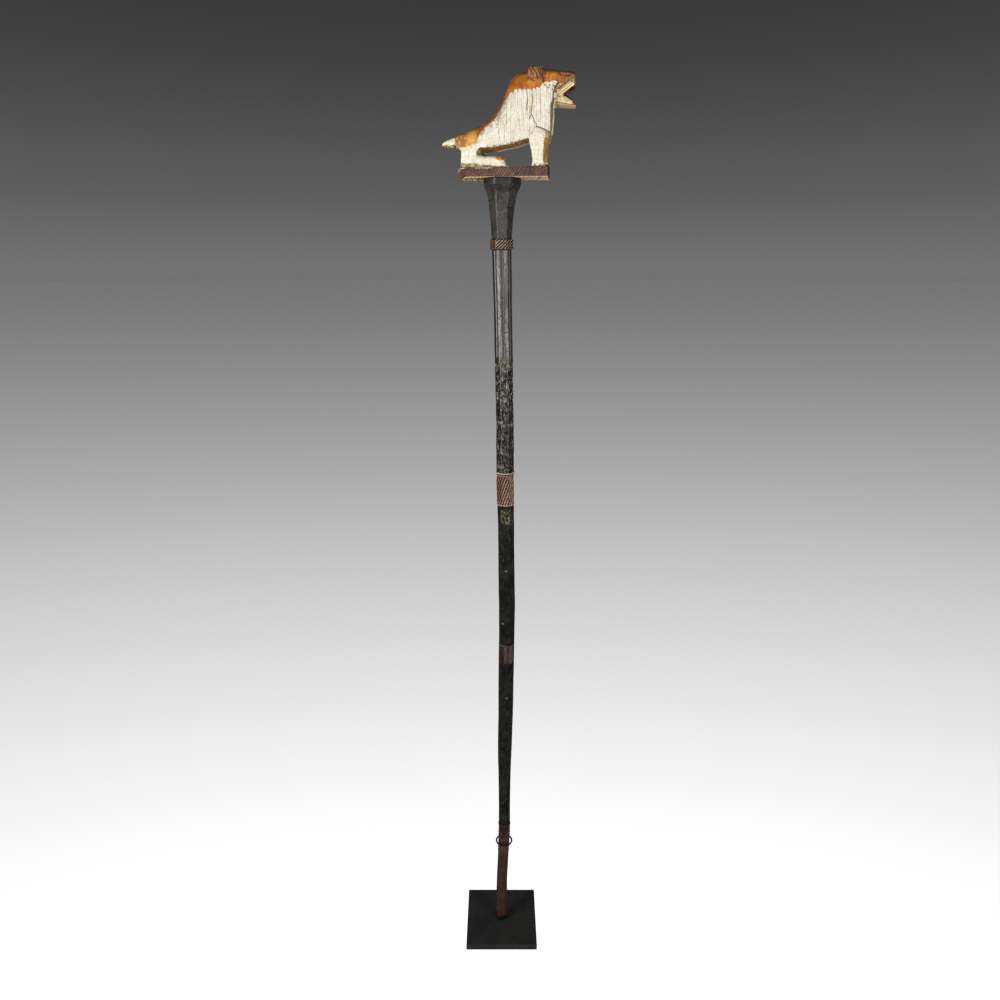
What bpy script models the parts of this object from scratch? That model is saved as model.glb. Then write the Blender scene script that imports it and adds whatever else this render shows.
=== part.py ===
"""Linguist staff: a carved lion on a hatched base, on a faceted wooden staff in a steel display stand.

Metres, +Z up.  The origin is the middle of the stand plate's underside, and the lion faces +X.
The lion and its base are carved from one block, which rests on the staff's capital.  The capital,
the shaft with its carved bands and the bare foot are one length of wood.  The foot stands on a
square plate, and a wire ring on a thin rod keeps the staff upright.
"""

import math

import bmesh
import bpy
from mathutils import Vector

MM = 0.001
GAP = 0.3 * MM  # clearance between pieces that touch

# --- stand ---------------------------------------------------------------------------------
PLATE_SIDE = 142 * MM
PLATE_THICK = 12 * MM
PLATE_EDGE = 0.8 * MM

RING_HEIGHT = 206 * MM  # middle of the wire above the floor
RING_RADIUS = 15.2 * MM  # to the middle of the wire
WIRE_RADIUS = 1.7 * MM
RING_CENTRE_X = 5 * MM
ROD_RADIUS = 2.5 * MM

# --- staff ---------------------------------------------------------------------------------
STAFF_TOP = 1445 * MM
STAFF_FOOT = PLATE_THICK + GAP
SIDES = 8  # facets round the capital and the shaft
FOOT_EDGE = 1.2 * MM

# Height above the floor and width across the flats, from the capital down to the foot.
STAFF_PROFILE = [
    (1445, 58.0), (1436, 58.6), (1430, 53.0), (1425, 47.2), (1414.6, 43.2), (1400, 38.8),
    (1385.5, 35.2), (1370.5, 32.6), (1357, 31.2),
    (1354.6, 35.6), (1352, 36.6), (1345, 36.8), (1342.6, 38.2), (1339.6, 37.4), (1337.6, 31.0),
    (1290, 30.4), (1256, 29.3), (1180, 29.3), (1061, 28.7), (1019, 29.4), (935, 29.4), (891, 27.5),
    (801, 27.8), (731, 28.4), (659, 27.1), (610, 27.6), (534, 27.0), (482, 26.2), (429, 25.7),
    (402, 24.6), (374, 22.8), (319, 21.4), (291, 20.9), (252, 21.4), (249.5, 22.8), (246, 22.8),
    (243, 22.2), (204, 21.5), (174, 20.2), (114, 20.3), (60, 21.6), (30, 22.4),
]
LONGEST_STEP = 26 * MM  # between the staff's rings

# How sharp the corners between the facets are: 1 is a true octagon, 0 a round.
CORNER_AT_TOP = 1.0
CORNER_AT_FOOT = 0.15

# Height above the floor and how far ahead of the plate's middle the stem's own middle lies.
STEM_LINE = [
    (1445, 0.4), (1400, -0.5), (1335, -0.4), (1218, 2.1), (1060, 5.2), (960, 5.6), (880, 7.5),
    (800, 8.1), (730, 9.4), (660, 9.1), (580, 8.1), (500, 7.5), (400, 5.6), (240, 5.5), (204, 4.5),
    (114, 0.9), (60, 0.0), (0, 0.0),
]

# --- finial --------------------------------------------------------------------------------
FINIAL_TURN = math.radians(-5.5)
BASE_LENGTH = 138 * MM
BASE_WIDTH = 60 * MM
BASE_THICK = 13.7 * MM
BASE_SHIFT = 3 * MM  # the base's middle lies this far ahead of the staff's axis
BASE_EDGE = 1 * MM
SUNK = 2  # mm that feet reach into the base

# The lion, in mm: X ahead of the staff's axis, Z above the base's top, half widths in Y.
# Torso stations: X, underside, back, half width, height of the arched back.
TORSO = [
    (-66, 28, 46.6, 11, 9), (-62, 20, 48.6, 18, 14), (-55, 15, 51.6, 22.5, 17),
    (-44, 14, 55.2, 25, 19), (-33, 24, 59.8, 25.5, 21), (-29, 26, 62.2, 25.5, 22),
    (-18, 26.2, 70, 25.5, 25), (-8, 27, 79.6, 25.5, 30), (-2, 27.8, 88.6, 25.5, 33),
    (4, 29, 99.4, 26, 34), (9.5, 30, 112.6, 26, 33), (15, 31, 122.6, 26, 29),
    (22, 32.6, 128.8, 26, 26), (30, 34.8, 131.2, 26, 24), (42, 37.8, 132.6, 26, 20),
    (56, 39.8, 132, 26, 18), (66, 40.6, 120, 26, 14), (72.6, 40.4, 101, 25, 10),
    (77.8, 46, 92, 20.5, 6),
]
HEAD = [
    (36, 100, 132.4, 22, 16), (48, 94, 134, 24, 15), (62, 88, 134.6, 24.6, 13),
    (74, 86, 133.8, 24.6, 12), (80, 91, 133.4, 23.6, 11), (84, 94, 133, 20.8, 10),
    (91, 98.2, 132.4, 18.6, 9), (98, 103.6, 131.4, 16.8, 8), (105, 108.8, 130, 15, 7),
    (109.6, 112.6, 127, 12.2, 5),
]
JAW = [
    (66, 86.4, 98.4, 18, 2.5), (76, 86.2, 98.4, 18, 2.5), (85, 85.8, 98.2, 17, 2.5),
    (93, 84.8, 98.2, 16, 2.5), (103, 83.8, 92.8, 13.8, 2.5), (110.6, 83.8, 89.6, 11.2, 2),
]
# Leg stations, bottom up: Z, back and front in X, outer face in Y.
FRONT_LEG = [
    (-SUNK, 46, 72.6, 26.4), (1.5, 45.8, 73, 26.8), (4.6, 46.4, 71.4, 26), (9, 47.2, 70.4, 25.6),
    (22, 45.4, 70.2, 25.8), (36, 42.2, 70.2, 26.4), (46, 39.6, 69.6, 26.6), (58, 42, 66, 24),
]
HIND_LEG = [
    (-SUNK, -61.4, -30, 26.2), (4, -61.6, -30, 26.4), (14, -61, -30.6, 26),
    (24, -61.4, -31, 26), (32, -60.4, -32, 25.6), (42, -57, -36, 21),
]
LEG_INNER = 7
FOOT_OUTER = 25.4
# Hind foot stations, heel to toe: X, top.
HIND_FOOT = [(-56, 10), (-34, 14.4), (-20, 13), (-6, 12.4), (2, 11), (5.6, 8.4), (7.2, 4.6)]
# Tail stations: X, middle in Z, radius.
TAIL = [
    (-48, 40, 10.6), (-58, 38.8, 10.4), (-66, 38, 9), (-74, 37.4, 7.4), (-82, 36.6, 5.6),
    (-88.6, 36, 3.8), (-92.4, 35.6, 1.8),
]
# Ears: place, half sizes and how they lean back and in, one on each side of the skull.
EAR_PLACE = (52, 21.5, 125.6)
EAR_HALF = (10.6, 3.4, 9.6)
EAR_LEAN = math.radians(14)
EAR_IN = 0.32

COLLECTION = "linguist_staff"
SHAPING = "shaping_blocks"


# --- scene helpers ---------------------------------------------------------------------------
def clear_scene():
    for item in list(bpy.data.objects):
        bpy.data.objects.remove(item, do_unlink=True)


def new_collection(name):
    collection = bpy.data.collections.new(name)
    bpy.context.scene.collection.children.link(collection)
    return collection


def material(name, colour, roughness, metallic=0.0):
    finish = bpy.data.materials.new(name)
    finish.use_nodes = True
    shader = finish.node_tree.nodes["Principled BSDF"]
    shader.inputs["Base Color"].default_value = (*colour, 1.0)
    shader.inputs["Roughness"].default_value = roughness
    shader.inputs["Metallic"].default_value = metallic
    return finish


def place(obj, collection, finish=None):
    """Moves an object into one collection and gives it its material."""
    for holder in list(obj.users_collection):
        holder.objects.unlink(obj)
    collection.objects.link(obj)
    if finish:
        obj.data.materials.clear()
        obj.data.materials.append(finish)
    return obj


def as_tool(obj):
    obj.hide_render = True
    obj.display_type = "WIRE"
    return obj


def loft(name, rings, collection, finish=None):
    """Closed skin over rings of equal point counts, flat at both ends."""
    form = bmesh.new()
    loops = [[form.verts.new(point) for point in ring] for ring in rings]
    for low, high in zip(loops, loops[1:]):
        for i in range(len(low)):
            j = (i + 1) % len(low)
            form.faces.new((low[i], low[j], high[j], high[i]))
    form.faces.new(loops[0])
    form.faces.new(loops[-1])
    bmesh.ops.recalc_face_normals(form, faces=form.faces)
    mesh = bpy.data.meshes.new(name)
    form.to_mesh(mesh)
    form.free()
    return place(bpy.data.objects.new(name, mesh), collection, finish)


def between(stations, t):
    """Catmull-Rom value of a list of equal tuples, t running from 0 to the last index."""
    last = len(stations) - 1
    i = min(int(t), last - 1)
    u = t - i
    p0, p1, p2, p3 = (stations[min(max(i + k, 0), last)] for k in (-1, 0, 1, 2))
    return [
        0.5 * (2 * b + (c - a) * u + (2 * a - 5 * b + 4 * c - d) * u * u
               + (3 * b - a - 3 * c + d) * u ** 3)
        for a, b, c, d in zip(p0, p1, p2, p3)
    ]


def refine(stations, parts):
    """The same stations with smooth ones between them."""
    steps = (len(stations) - 1) * parts
    return [between(stations, k / parts) for k in range(steps + 1)]


# --- carving sections, in mm -----------------------------------------------------------------
def arched_ring(x, low, high, half, arch, corner=2.5, points=9):
    """Section across X: flat underside, upright sides and an arched top."""
    shoulder = high - arch
    right = [(half - corner, low), (half, low + corner), (half, 0.5 * (low + corner + shoulder))]
    top = []
    for k in range(points):
        angle = math.pi * k / (points - 1)
        top.append((half * math.cos(angle), shoulder + arch * math.sin(angle)))
    left = [(-y, z) for y, z in reversed(right)]
    return [Vector((x, y, z)) * MM for y, z in right + top + left]


def oblong_ring(z, back, front, inner, outer, power=4.5, points=16):
    """Upright leg section: an oblong with rounded corners."""
    ring = []
    for k in range(points):
        angle = 2 * math.pi * (k + 0.5) / points
        c, s = math.cos(angle), math.sin(angle)
        x = 0.5 * (back + front) + 0.5 * (front - back) * math.copysign(abs(c) ** (2 / power), c)
        y = 0.5 * (inner + outer) + 0.5 * (outer - inner) * math.copysign(abs(s) ** (2 / power), s)
        ring.append(Vector((x, y, z)) * MM)
    return ring


def round_ring(x, middle, radius, points=14):
    ring = []
    for k in range(points):
        angle = 2 * math.pi * k / points
        ring.append(Vector((x, radius * math.cos(angle), middle + radius * math.sin(angle))) * MM)
    return ring


# --- the lion --------------------------------------------------------------------------------
def torso(collection):
    return loft("torso", [arched_ring(*s) for s in refine(TORSO, 2)], collection)


def head(collection):
    return loft("head", [arched_ring(*s, corner=2) for s in refine(HEAD, 2)], collection)


def jaw(collection):
    return loft("jaw", [arched_ring(*s, corner=2, points=7) for s in refine(JAW, 1)], collection)


def tail(collection):
    return loft("tail", [round_ring(*s) for s in refine(TAIL, 2)], collection)


def leg(name, stations, side, collection):
    rings = []
    for z, back, front, outer in stations:
        rings.append(oblong_ring(z, back, front, *sorted((side * LEG_INNER, side * outer))))
    return loft(name, rings, collection)


def hind_foot(name, side, collection):
    """The sole is sunk in the base, and the toe rounds down to it."""
    rings = []
    shift = side * 0.5 * (FOOT_OUTER + LEG_INNER) * MM
    for x, top in refine(HIND_FOOT, 2):
        ring = arched_ring(x, -SUNK, top, 0.5 * (FOOT_OUTER - LEG_INNER), min(5, top), 1, 7)
        rings.append([point + Vector((0, shift, 0)) for point in ring])
    return loft(name, rings, collection)


def ear(name, side, collection):
    bpy.ops.mesh.primitive_uv_sphere_add(segments=14, ring_count=8, radius=1)
    lobe = bpy.context.object
    lobe.name = name
    x, y, z = EAR_PLACE
    for vertex in lobe.data.vertices:
        forward, out, up = (c * h for c, h in zip(vertex.co, EAR_HALF))
        vertex.co = Vector((
            x + forward * math.cos(EAR_LEAN) - up * math.sin(EAR_LEAN),
            side * (y - EAR_IN * up) + out,
            z + forward * math.sin(EAR_LEAN) + up * math.cos(EAR_LEAN),
        )) * MM
    return place(lobe, collection)


def base_block(name, collection, finish):
    bpy.ops.mesh.primitive_cube_add(size=1)
    block = bpy.context.object
    block.name = name
    for vertex in block.data.vertices:
        x, y, z = vertex.co
        vertex.co = (
            BASE_SHIFT + x * BASE_LENGTH, y * BASE_WIDTH, (z - 0.5) * BASE_THICK,
        )
    edge = block.modifiers.new("worn edges", "BEVEL")
    edge.width = BASE_EDGE
    edge.segments = 2
    return place(block, collection, finish)


def lion_finial(collection, shaping, finish):
    """One carving: the parts of the lion are joined to the base they stand on."""
    carving = base_block("lion_finial", collection, finish)
    forms = [torso(shaping), head(shaping), jaw(shaping), tail(shaping)]
    for word, side in (("near", -1), ("far", 1)):
        forms.append(leg(f"front_leg_{word}", FRONT_LEG, side, shaping))
        forms.append(leg(f"hind_leg_{word}", HIND_LEG, side, shaping))
        forms.append(hind_foot(f"hind_foot_{word}", side, shaping))
        forms.append(ear(f"ear_{word}", side, shaping))
    seat = Vector((0, 0, STAFF_TOP + GAP + BASE_THICK))
    for obj in (carving, *forms):
        obj.location = seat
        obj.rotation_euler = (0, 0, FINIAL_TURN)
    for form in forms:
        as_tool(form)
        join = carving.modifiers.new(form.name, "BOOLEAN")
        join.operation = "UNION"
        join.solver = "EXACT"
        join.object = form
    return carving


# --- the staff -------------------------------------------------------------------------------
def stem_middle(z):
    """How far ahead the staff's middle lies at a height."""
    for (z0, x0), (z1, x1) in zip(STEM_LINE, STEM_LINE[1:]):
        if z >= z1 * MM:
            return (x1 + (x0 - x1) * (z - z1 * MM) / ((z0 - z1) * MM)) * MM
    return 0.0


def staff_ring(z, width):
    """Eight flats, with a point in the middle of each flat and one on each corner."""
    share = (z - STAFF_FOOT) / (STAFF_TOP - STAFF_FOOT)
    sharp = CORNER_AT_FOOT + (CORNER_AT_TOP - CORNER_AT_FOOT) * share
    reach = 1 / math.cos(math.pi / SIDES)
    ring = []
    for k in range(2 * SIDES):
        angle = math.pi * k / SIDES
        radius = 0.5 * width * (1 + sharp * (reach - 1) * (k % 2))
        ring.append(Vector((stem_middle(z) + radius * math.cos(angle), radius * math.sin(angle), z)))
    return ring


def staff_stations():
    """The profile's own heights, with more between them where they lie far apart."""
    heights = [(z * MM, width * MM) for z, width in STAFF_PROFILE]
    foot_width = heights[-1][1]
    heights += [(STAFF_FOOT + FOOT_EDGE, foot_width), (STAFF_FOOT, foot_width - 2 * FOOT_EDGE)]
    stations = [heights[0]]
    for (z0, w0), (z1, w1) in zip(heights, heights[1:]):
        parts = max(1, math.ceil((z0 - z1) / LONGEST_STEP))
        for k in range(1, parts + 1):
            stations.append((z0 + (z1 - z0) * k / parts, w0 + (w1 - w0) * k / parts))
    return stations


def staff_shaft(collection, finish):
    shaft = loft("staff_shaft", [staff_ring(*s) for s in staff_stations()], collection, finish)
    shaft.data.shade_smooth()
    shaft.data.set_sharp_from_angle(angle=math.radians(18))
    return shaft


# --- the stand -------------------------------------------------------------------------------
def stand_plate(collection, finish):
    bpy.ops.mesh.primitive_cube_add(size=1)
    plate = bpy.context.object
    plate.name = "stand_plate"
    for vertex in plate.data.vertices:
        x, y, z = vertex.co
        vertex.co = (x * PLATE_SIDE, y * PLATE_SIDE, (z + 0.5) * PLATE_THICK)
    edge = plate.modifiers.new("eased edges", "BEVEL")
    edge.width = PLATE_EDGE
    edge.segments = 2
    return place(plate, collection, finish)


def stand_rod(collection, finish):
    """Stands on the plate behind the staff and ends just under the ring."""
    bottom = PLATE_THICK + GAP
    top = RING_HEIGHT - WIRE_RADIUS - GAP
    bpy.ops.mesh.primitive_cylinder_add(
        vertices=20, radius=ROD_RADIUS, depth=top - bottom,
        location=(RING_CENTRE_X, RING_RADIUS, 0.5 * (top + bottom)),
    )
    rod = bpy.context.object
    rod.name = "stand_rod"
    rod.data.shade_smooth()
    rod.data.set_sharp_from_angle(angle=math.radians(40))
    return place(rod, collection, finish)


def stand_ring(collection, finish):
    bpy.ops.mesh.primitive_torus_add(
        major_radius=RING_RADIUS, minor_radius=WIRE_RADIUS, major_segments=36, minor_segments=10,
        location=(RING_CENTRE_X, 0, RING_HEIGHT),
    )
    ring = bpy.context.object
    ring.name = "stand_ring"
    ring.data.shade_smooth()
    return place(ring, collection, finish)


def main():
    clear_scene()
    work = new_collection(COLLECTION)
    shaping = new_collection(SHAPING)
    gilded = material("gilded carving", (0.80, 0.74, 0.60), 0.4)
    black_wood = material("blackened wood", (0.030, 0.027, 0.025), 0.42)
    steel = material("black steel", (0.016, 0.016, 0.015), 0.5)
    lion_finial(work, shaping, gilded)
    staff_shaft(work, black_wood)
    stand_plate(work, steel)
    stand_rod(work, steel)
    stand_ring(work, steel)


main()
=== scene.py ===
"""Looks of the linguist staff: a leafed and lacquered lion on a hatched base, a blackened staff with
carved bands and a bare foot, and a black steel stand.

Metres, +Z up, the lion facing +X.  Sizes that belong to the carving are in millimetres, in the
carving's own frame: X ahead of the staff's axis, Y to the lion's left, Z above the base's top.
"""

import math

import bmesh
import bpy
import numpy as np
from mathutils import Matrix, Vector, noise


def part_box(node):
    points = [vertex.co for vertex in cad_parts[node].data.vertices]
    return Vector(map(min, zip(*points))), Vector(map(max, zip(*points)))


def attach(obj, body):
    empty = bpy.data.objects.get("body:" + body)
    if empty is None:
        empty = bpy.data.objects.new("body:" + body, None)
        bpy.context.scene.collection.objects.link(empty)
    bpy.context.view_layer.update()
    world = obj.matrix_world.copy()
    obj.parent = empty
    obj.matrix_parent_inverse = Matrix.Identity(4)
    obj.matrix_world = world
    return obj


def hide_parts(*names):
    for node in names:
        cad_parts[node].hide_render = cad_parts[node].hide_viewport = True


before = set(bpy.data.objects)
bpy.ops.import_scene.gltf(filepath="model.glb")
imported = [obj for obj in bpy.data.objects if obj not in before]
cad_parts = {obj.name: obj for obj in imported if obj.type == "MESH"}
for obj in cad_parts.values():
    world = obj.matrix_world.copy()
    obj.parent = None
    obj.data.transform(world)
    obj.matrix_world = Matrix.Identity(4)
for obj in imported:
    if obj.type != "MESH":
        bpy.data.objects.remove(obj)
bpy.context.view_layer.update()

MM = 0.001

# --- where things are, from the frame ---------------------------------------------------------
SHAFT_LOW, SHAFT_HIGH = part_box("staff_shaft")
RING_LOW, RING_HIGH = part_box("stand_ring")
STAFF_FOOT = SHAFT_LOW.z / MM
STAFF_TOP = SHAFT_HIGH.z / MM
GAP = 0.3  # mm between the staff and the carving
BASE_THICK = 13.7
SEAT = STAFF_TOP + GAP + BASE_THICK  # mm, the base's top above the floor
FINIAL_TURN = math.radians(-5.5)  # of the carving on the staff

# --- the staff, mm ----------------------------------------------------------------------------
AROUND = 100  # points in each ring
SIDES = 8
# Stretches of the staff from the top down: where each ends and how many rings it gets.
STRETCHES = [
    (1357, 60), (1336, 40), (985, 230), (917, 112), (665, 134), (596, 74), (255, 150), (180, 96),
    (STAFF_FOOT, 66),
]
# Height above the floor and width across the flats.
WIDTHS = [
    (1445, 58.0), (1436, 58.6), (1430, 53.0), (1425, 47.2), (1414.6, 43.2), (1400, 38.8),
    (1385.5, 35.4), (1370.5, 33.0), (1357, 31.4), (1329, 29.8), (1292, 29.8), (1256, 28.6),
    (1199, 28.8), (1160, 29.9), (1061, 29.8), (1019, 30.5), (935, 30.2), (891, 28.7), (801, 29.0),
    (731, 29.6), (659, 28.4), (610, 28.7), (534, 28.2), (482, 27.4), (429, 26.9), (402, 25.8),
    (374, 24.0), (319, 22.6), (291, 22.2), (233, 22.6), (204, 21.9), (174, 21.3), (114, 21.2),
    (60, 22.4), (30, 23.2), (13.5, 23.2), (12.3, 20.8),
]
# How sharp the eight corners are, as a share of a true octagon's.
CORNER_AT_TOP = 1.0
CORNER_AT_FOOT = 0.15
# Height above the floor and how far ahead of the plate's middle the stem's own middle lies.
STEM_LINE = [
    (1445, 0.4), (1400, -0.5), (1335, -0.4), (1218, 2.1), (1060, 5.2), (960, 5.6), (880, 7.5),
    (800, 8.1), (730, 9.4), (660, 9.1), (580, 8.1), (500, 7.5), (400, 5.6), (240, 5.5), (204, 4.5),
    (114, 0.9), (60, 0.0),
]
# Raised rounds: middle height, half height, how far they stand out, how bare they are rubbed.
BEADS = [
    (1342.6, 1.8, 1.4, 0.35), (977.4, 2.2, 1.3, 1.0), (973.2, 1.3, 0.5, 0.6), (925.4, 1.4, 0.5, 0.4),
    (920.4, 1.7, 1.0, 1.0), (649.4, 1.2, 0.3, 0.5), (249, 3.2, 0.9, 0.12), (228.2, 1.6, 0.5, 0.1),
    (184.5, 1.6, 0.5, 0.1),
]
# Carved bands: low and high edges, how ragged they are, depth, swelling, how far the black is
# worn off, how light the ridges are and how much more so ahead, the side (as a share of the
# radius) left uncut, cuts around, and how many of the staff's upright mesh lines the cuts lean
# across between the two edges.
BANDS = [
    (1342.4, 1356.4, 3, 1.5, 3.0, 0.40, 0.72, -0.3, -0.55, 22, 13),
    (920.4, 974, 4, 1.3, 0.3, 0.92, 0.34, 0.7, -2, 20, 22),
    (613, 648, 22, 0.8, 0.1, 0.10, 0.12, 0.5, -0.4, 20, 32),
    (186, 222, 8, 0.6, 0.3, 0.28, 0.16, 0.0, -2, 20, 22),
]
# Nicks across the black stretch: height, middle as a share of the radius, half length.
NICKS = [(799, -0.05, 0.24), (695, -0.5, 0.2), (541, 0.1, 0.16)]
# Heights between which one kind of skin fades into the next: the scratched stretch at its top and
# at its end, the tool facets at their end, the even skin above the foot, and the bare foot.
ROUGH_TOP = (1150, 1190)
ROUGH_END = (962, 990)
TOOLED_END = (560, 900)
PLAIN_START = (243, 262)
FOOT_START = (232, 252)
PATCH_HEIGHT = 903  # of the greenish patch
BARE_FOOT = 0.22  # how bare the foot is rubbed
BLACK_TIP = 24  # height of the foot's dark end
REED_TOP = 1341
REED_END = 1166
REED_DEPTH = 2.7
CAPITAL_LOW = 1352  # the dull head starts here
SHADE_LOW = 1434  # and the painted shadow under the base here

# --- the carving, mm --------------------------------------------------------------------------
BASE_LENGTH = 138
BASE_WIDTH = 60
BASE_SHIFT = 3  # of its middle ahead of the staff's axis
BASE_STEPS = (172, 76, 22)  # mesh points along its length, width and thickness
BASE_EDGE = 1.6  # how far its edges are eased
HATCH_PITCH = 4.4
HATCH_DEPTH = 0.7
NAIL_HOLE = 55  # ahead of the base's middle, on its underside
# The end under the tail: height from the slab's middle and how far its right corner is worn back.
WORN_END = [(6.8, 5.6), (2.4, 1.2), (-1, 1.8), (-6.8, 10.4)]
VOXEL = 0.88  # step of the lion's even skin
SUNK = 2  # how far the legs reach into the base

# Stations of the torso, the head and the jaw: X, underside, top, half width, height of the arch.
TORSO = [
    (-66, 31, 47.4, 11, 9), (-62, 25, 48.8, 16.4, 14), (-55, 17, 51.8, 21.4, 17),
    (-49, 14.6, 53.6, 23.8, 18), (-42, 14.4, 56, 25.1, 19), (-33, 24.6, 59.8, 25.5, 21),
    (-29, 26, 62.2, 25.5, 22), (-18, 26.2, 70, 25.5, 25), (-8, 27, 79.6, 25.5, 30),
    (-2, 27.8, 88.6, 25.5, 33), (4, 29, 99.4, 26, 34), (9.5, 30, 112.6, 26, 33), (15, 31, 122.6, 26, 29),
    (22, 32.6, 128.8, 26, 26), (30, 34.8, 131.2, 26, 24), (42, 37.8, 132.6, 26, 20),
    (56, 39.8, 132, 26, 18), (66, 40.6, 120, 26, 14), (70, 37, 108, 25.8, 12),
    (72.6, 39.6, 101, 25, 10), (75, 46, 98, 23.6, 9), (76.6, 54, 95, 22.4, 8),
    (77.8, 68, 92, 20.4, 6),
]
HEAD = [
    (36, 100, 132.4, 22, 16), (48, 94, 134, 24, 15), (62, 88, 134.6, 24.6, 13),
    (74, 86, 133.8, 24.6, 12), (79, 92, 133.4, 23.6, 11), (84, 94, 132.8, 20.8, 10),
    (91, 98.2, 132, 18.6, 9), (98, 103.6, 131.2, 16.8, 8), (104, 108.2, 130.2, 15, 7),
    (107.6, 110.6, 128.8, 13.4, 5), (109.4, 112.6, 126.8, 11.6, 4),
]
JAW = [
    (64, 86.4, 98.4, 17.5, 2.5), (76, 86.2, 98.4, 18, 2.5), (84, 85.8, 98.2, 17.2, 2.5),
    (93, 84.8, 98.2, 16, 2.5), (101, 84, 94, 14.4, 2.5), (105.4, 83.6, 91.4, 13.2, 2.5),
    (110.4, 83.8, 89.6, 11, 2),
]
# Stations of the two hollows in the mouth: X, low, high, half width.
PALATE = [
    (73, 93, 105, 15), (84, 89, 106, 15.4), (91, 94, 108, 13.6), (98, 99, 112.4, 12),
    (104, 103, 115.4, 10.2), (107, 105.6, 116.4, 8.4),
]
TROUGH = [(80, 91, 104, 13.4), (90, 90, 102, 12.6), (100, 88.6, 100, 10.8), (106.4, 87.6, 96, 9)]
# Tongue stations: X, underside, top, half width, height of the arch.
TONGUE = [
    (74, 90, 101.6, 9.5, 3), (84, 90, 102.4, 9.4, 3), (92, 89, 101.4, 9, 3), (97, 88, 99, 8.4, 3),
    (101.6, 87.4, 96, 7.4, 2.6), (105.6, 86.8, 92.4, 6, 2),
]
# Leg stations, bottom up: Z, back and front in X, outer face in Y.
FRONT_LEG = [
    (-SUNK, 46, 72.6, 26.4), (1.5, 45.8, 72.8, 26.8), (4.6, 46.4, 71.2, 26), (9, 47.2, 70, 25.6),
    (22, 45.4, 69.8, 25.8), (32, 43, 70.4, 26.2), (38, 41.6, 71.4, 26.4), (46, 39.6, 71.4, 26.6),
    (58, 42, 66, 24),
]
HIND_LEG = [
    (-SUNK, -61, -30, 26.2), (4, -61.2, -30, 26.4), (14, -60.6, -30.6, 26),
    (24, -60.4, -31, 26), (32, -59.4, -32, 25.6), (42, -57, -36, 21),
]
LEG_INNER = 7
FOOT_OUTER = 25.4
# Hind foot stations, heel to toe: X, top on the lion's right, top on its left.
HIND_FOOT = [
    (-56, 10, 12), (-34, 17, 27), (-27, 16.6, 23.4), (-20, 16.2, 19), (-13, 16, 16.4),
    (-6, 15.8, 14), (0, 15.4, 12.6), (4, 13, 11), (6.6, 9, 8), (8.2, 4, 4),
]
# Tail stations: X, middle in Z, radius.
TAIL = [
    (-40, 41, 11.6), (-50, 39.6, 11.4), (-58, 38.6, 10.8), (-66, 38, 9.2), (-74, 37.3, 7.6),
    (-82, 36.3, 5.9), (-88.4, 35.5, 4.2), (-91.8, 35.2, 2.6),
]
# Rump stations fill the notch between the back's end and the tail.
RUMP = [
    (-72.4, 34, 45.4, 5, 6), (-69, 31.4, 46.8, 8, 8), (-65, 28.4, 48.2, 13.5, 11),
    (-60, 22, 49.8, 18.4, 14), (-54, 15, 52, 22.2, 16), (-46, 14, 54.8, 24.8, 18),
    (-38, 16, 58, 25.4, 19),
]
# Ear lobes: X, distance from the middle, Z, and radii.
EAR_LOBES = [
    (45.4, 22, 125.4, 6.4, 4.8, 9.2), (58.6, 22.6, 125.2, 5.6, 5.2, 9.2),
    (51.6, 21.6, 124.4, 8, 4.4, 9.8), (56.6, 21.8, 115.6, 6.6, 3.8, 5.4),
]


# --- node trees as expressions ----------------------------------------------------------------
class Value:
    """A socket in a tree under construction.  Arithmetic on it adds Math nodes."""

    def __init__(self, tree, socket):
        self.tree = tree
        self.socket = socket

    def math(self, operation, *others):
        sockets = dict(enumerate((self, *others)))
        return self.tree.add("ShaderNodeMath", {"operation": operation}, sockets)

    def output(self, key):
        """Another output of the node that this value comes from."""
        return Value(self.tree, find(self.socket.node.outputs, key))

    def __add__(self, other):
        return self.math("ADD", other)

    def __sub__(self, other):
        return self.math("SUBTRACT", other)

    def __mul__(self, other):
        return self.math("MULTIPLY", other)

    def __truediv__(self, other):
        return self.math("DIVIDE", other)

    def __pow__(self, other):
        return self.math("POWER", other)

    def __radd__(self, other):
        return self.math("ADD", other)

    def __rmul__(self, other):
        return self.math("MULTIPLY", other)

    def __rsub__(self, other):
        return self.tree.add("ShaderNodeMath", {"operation": "SUBTRACT"}, {0: other, 1: self})

    def __rtruediv__(self, other):
        return self.tree.add("ShaderNodeMath", {"operation": "DIVIDE"}, {0: other, 1: self})

    def __abs__(self):
        return self.math("ABSOLUTE")


def find(sockets, key):
    """A socket by its number, or the enabled one that has this name."""
    if isinstance(key, int):
        return sockets[key]
    return next(s for s in sockets if s.enabled and key in (s.name, s.identifier))


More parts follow.
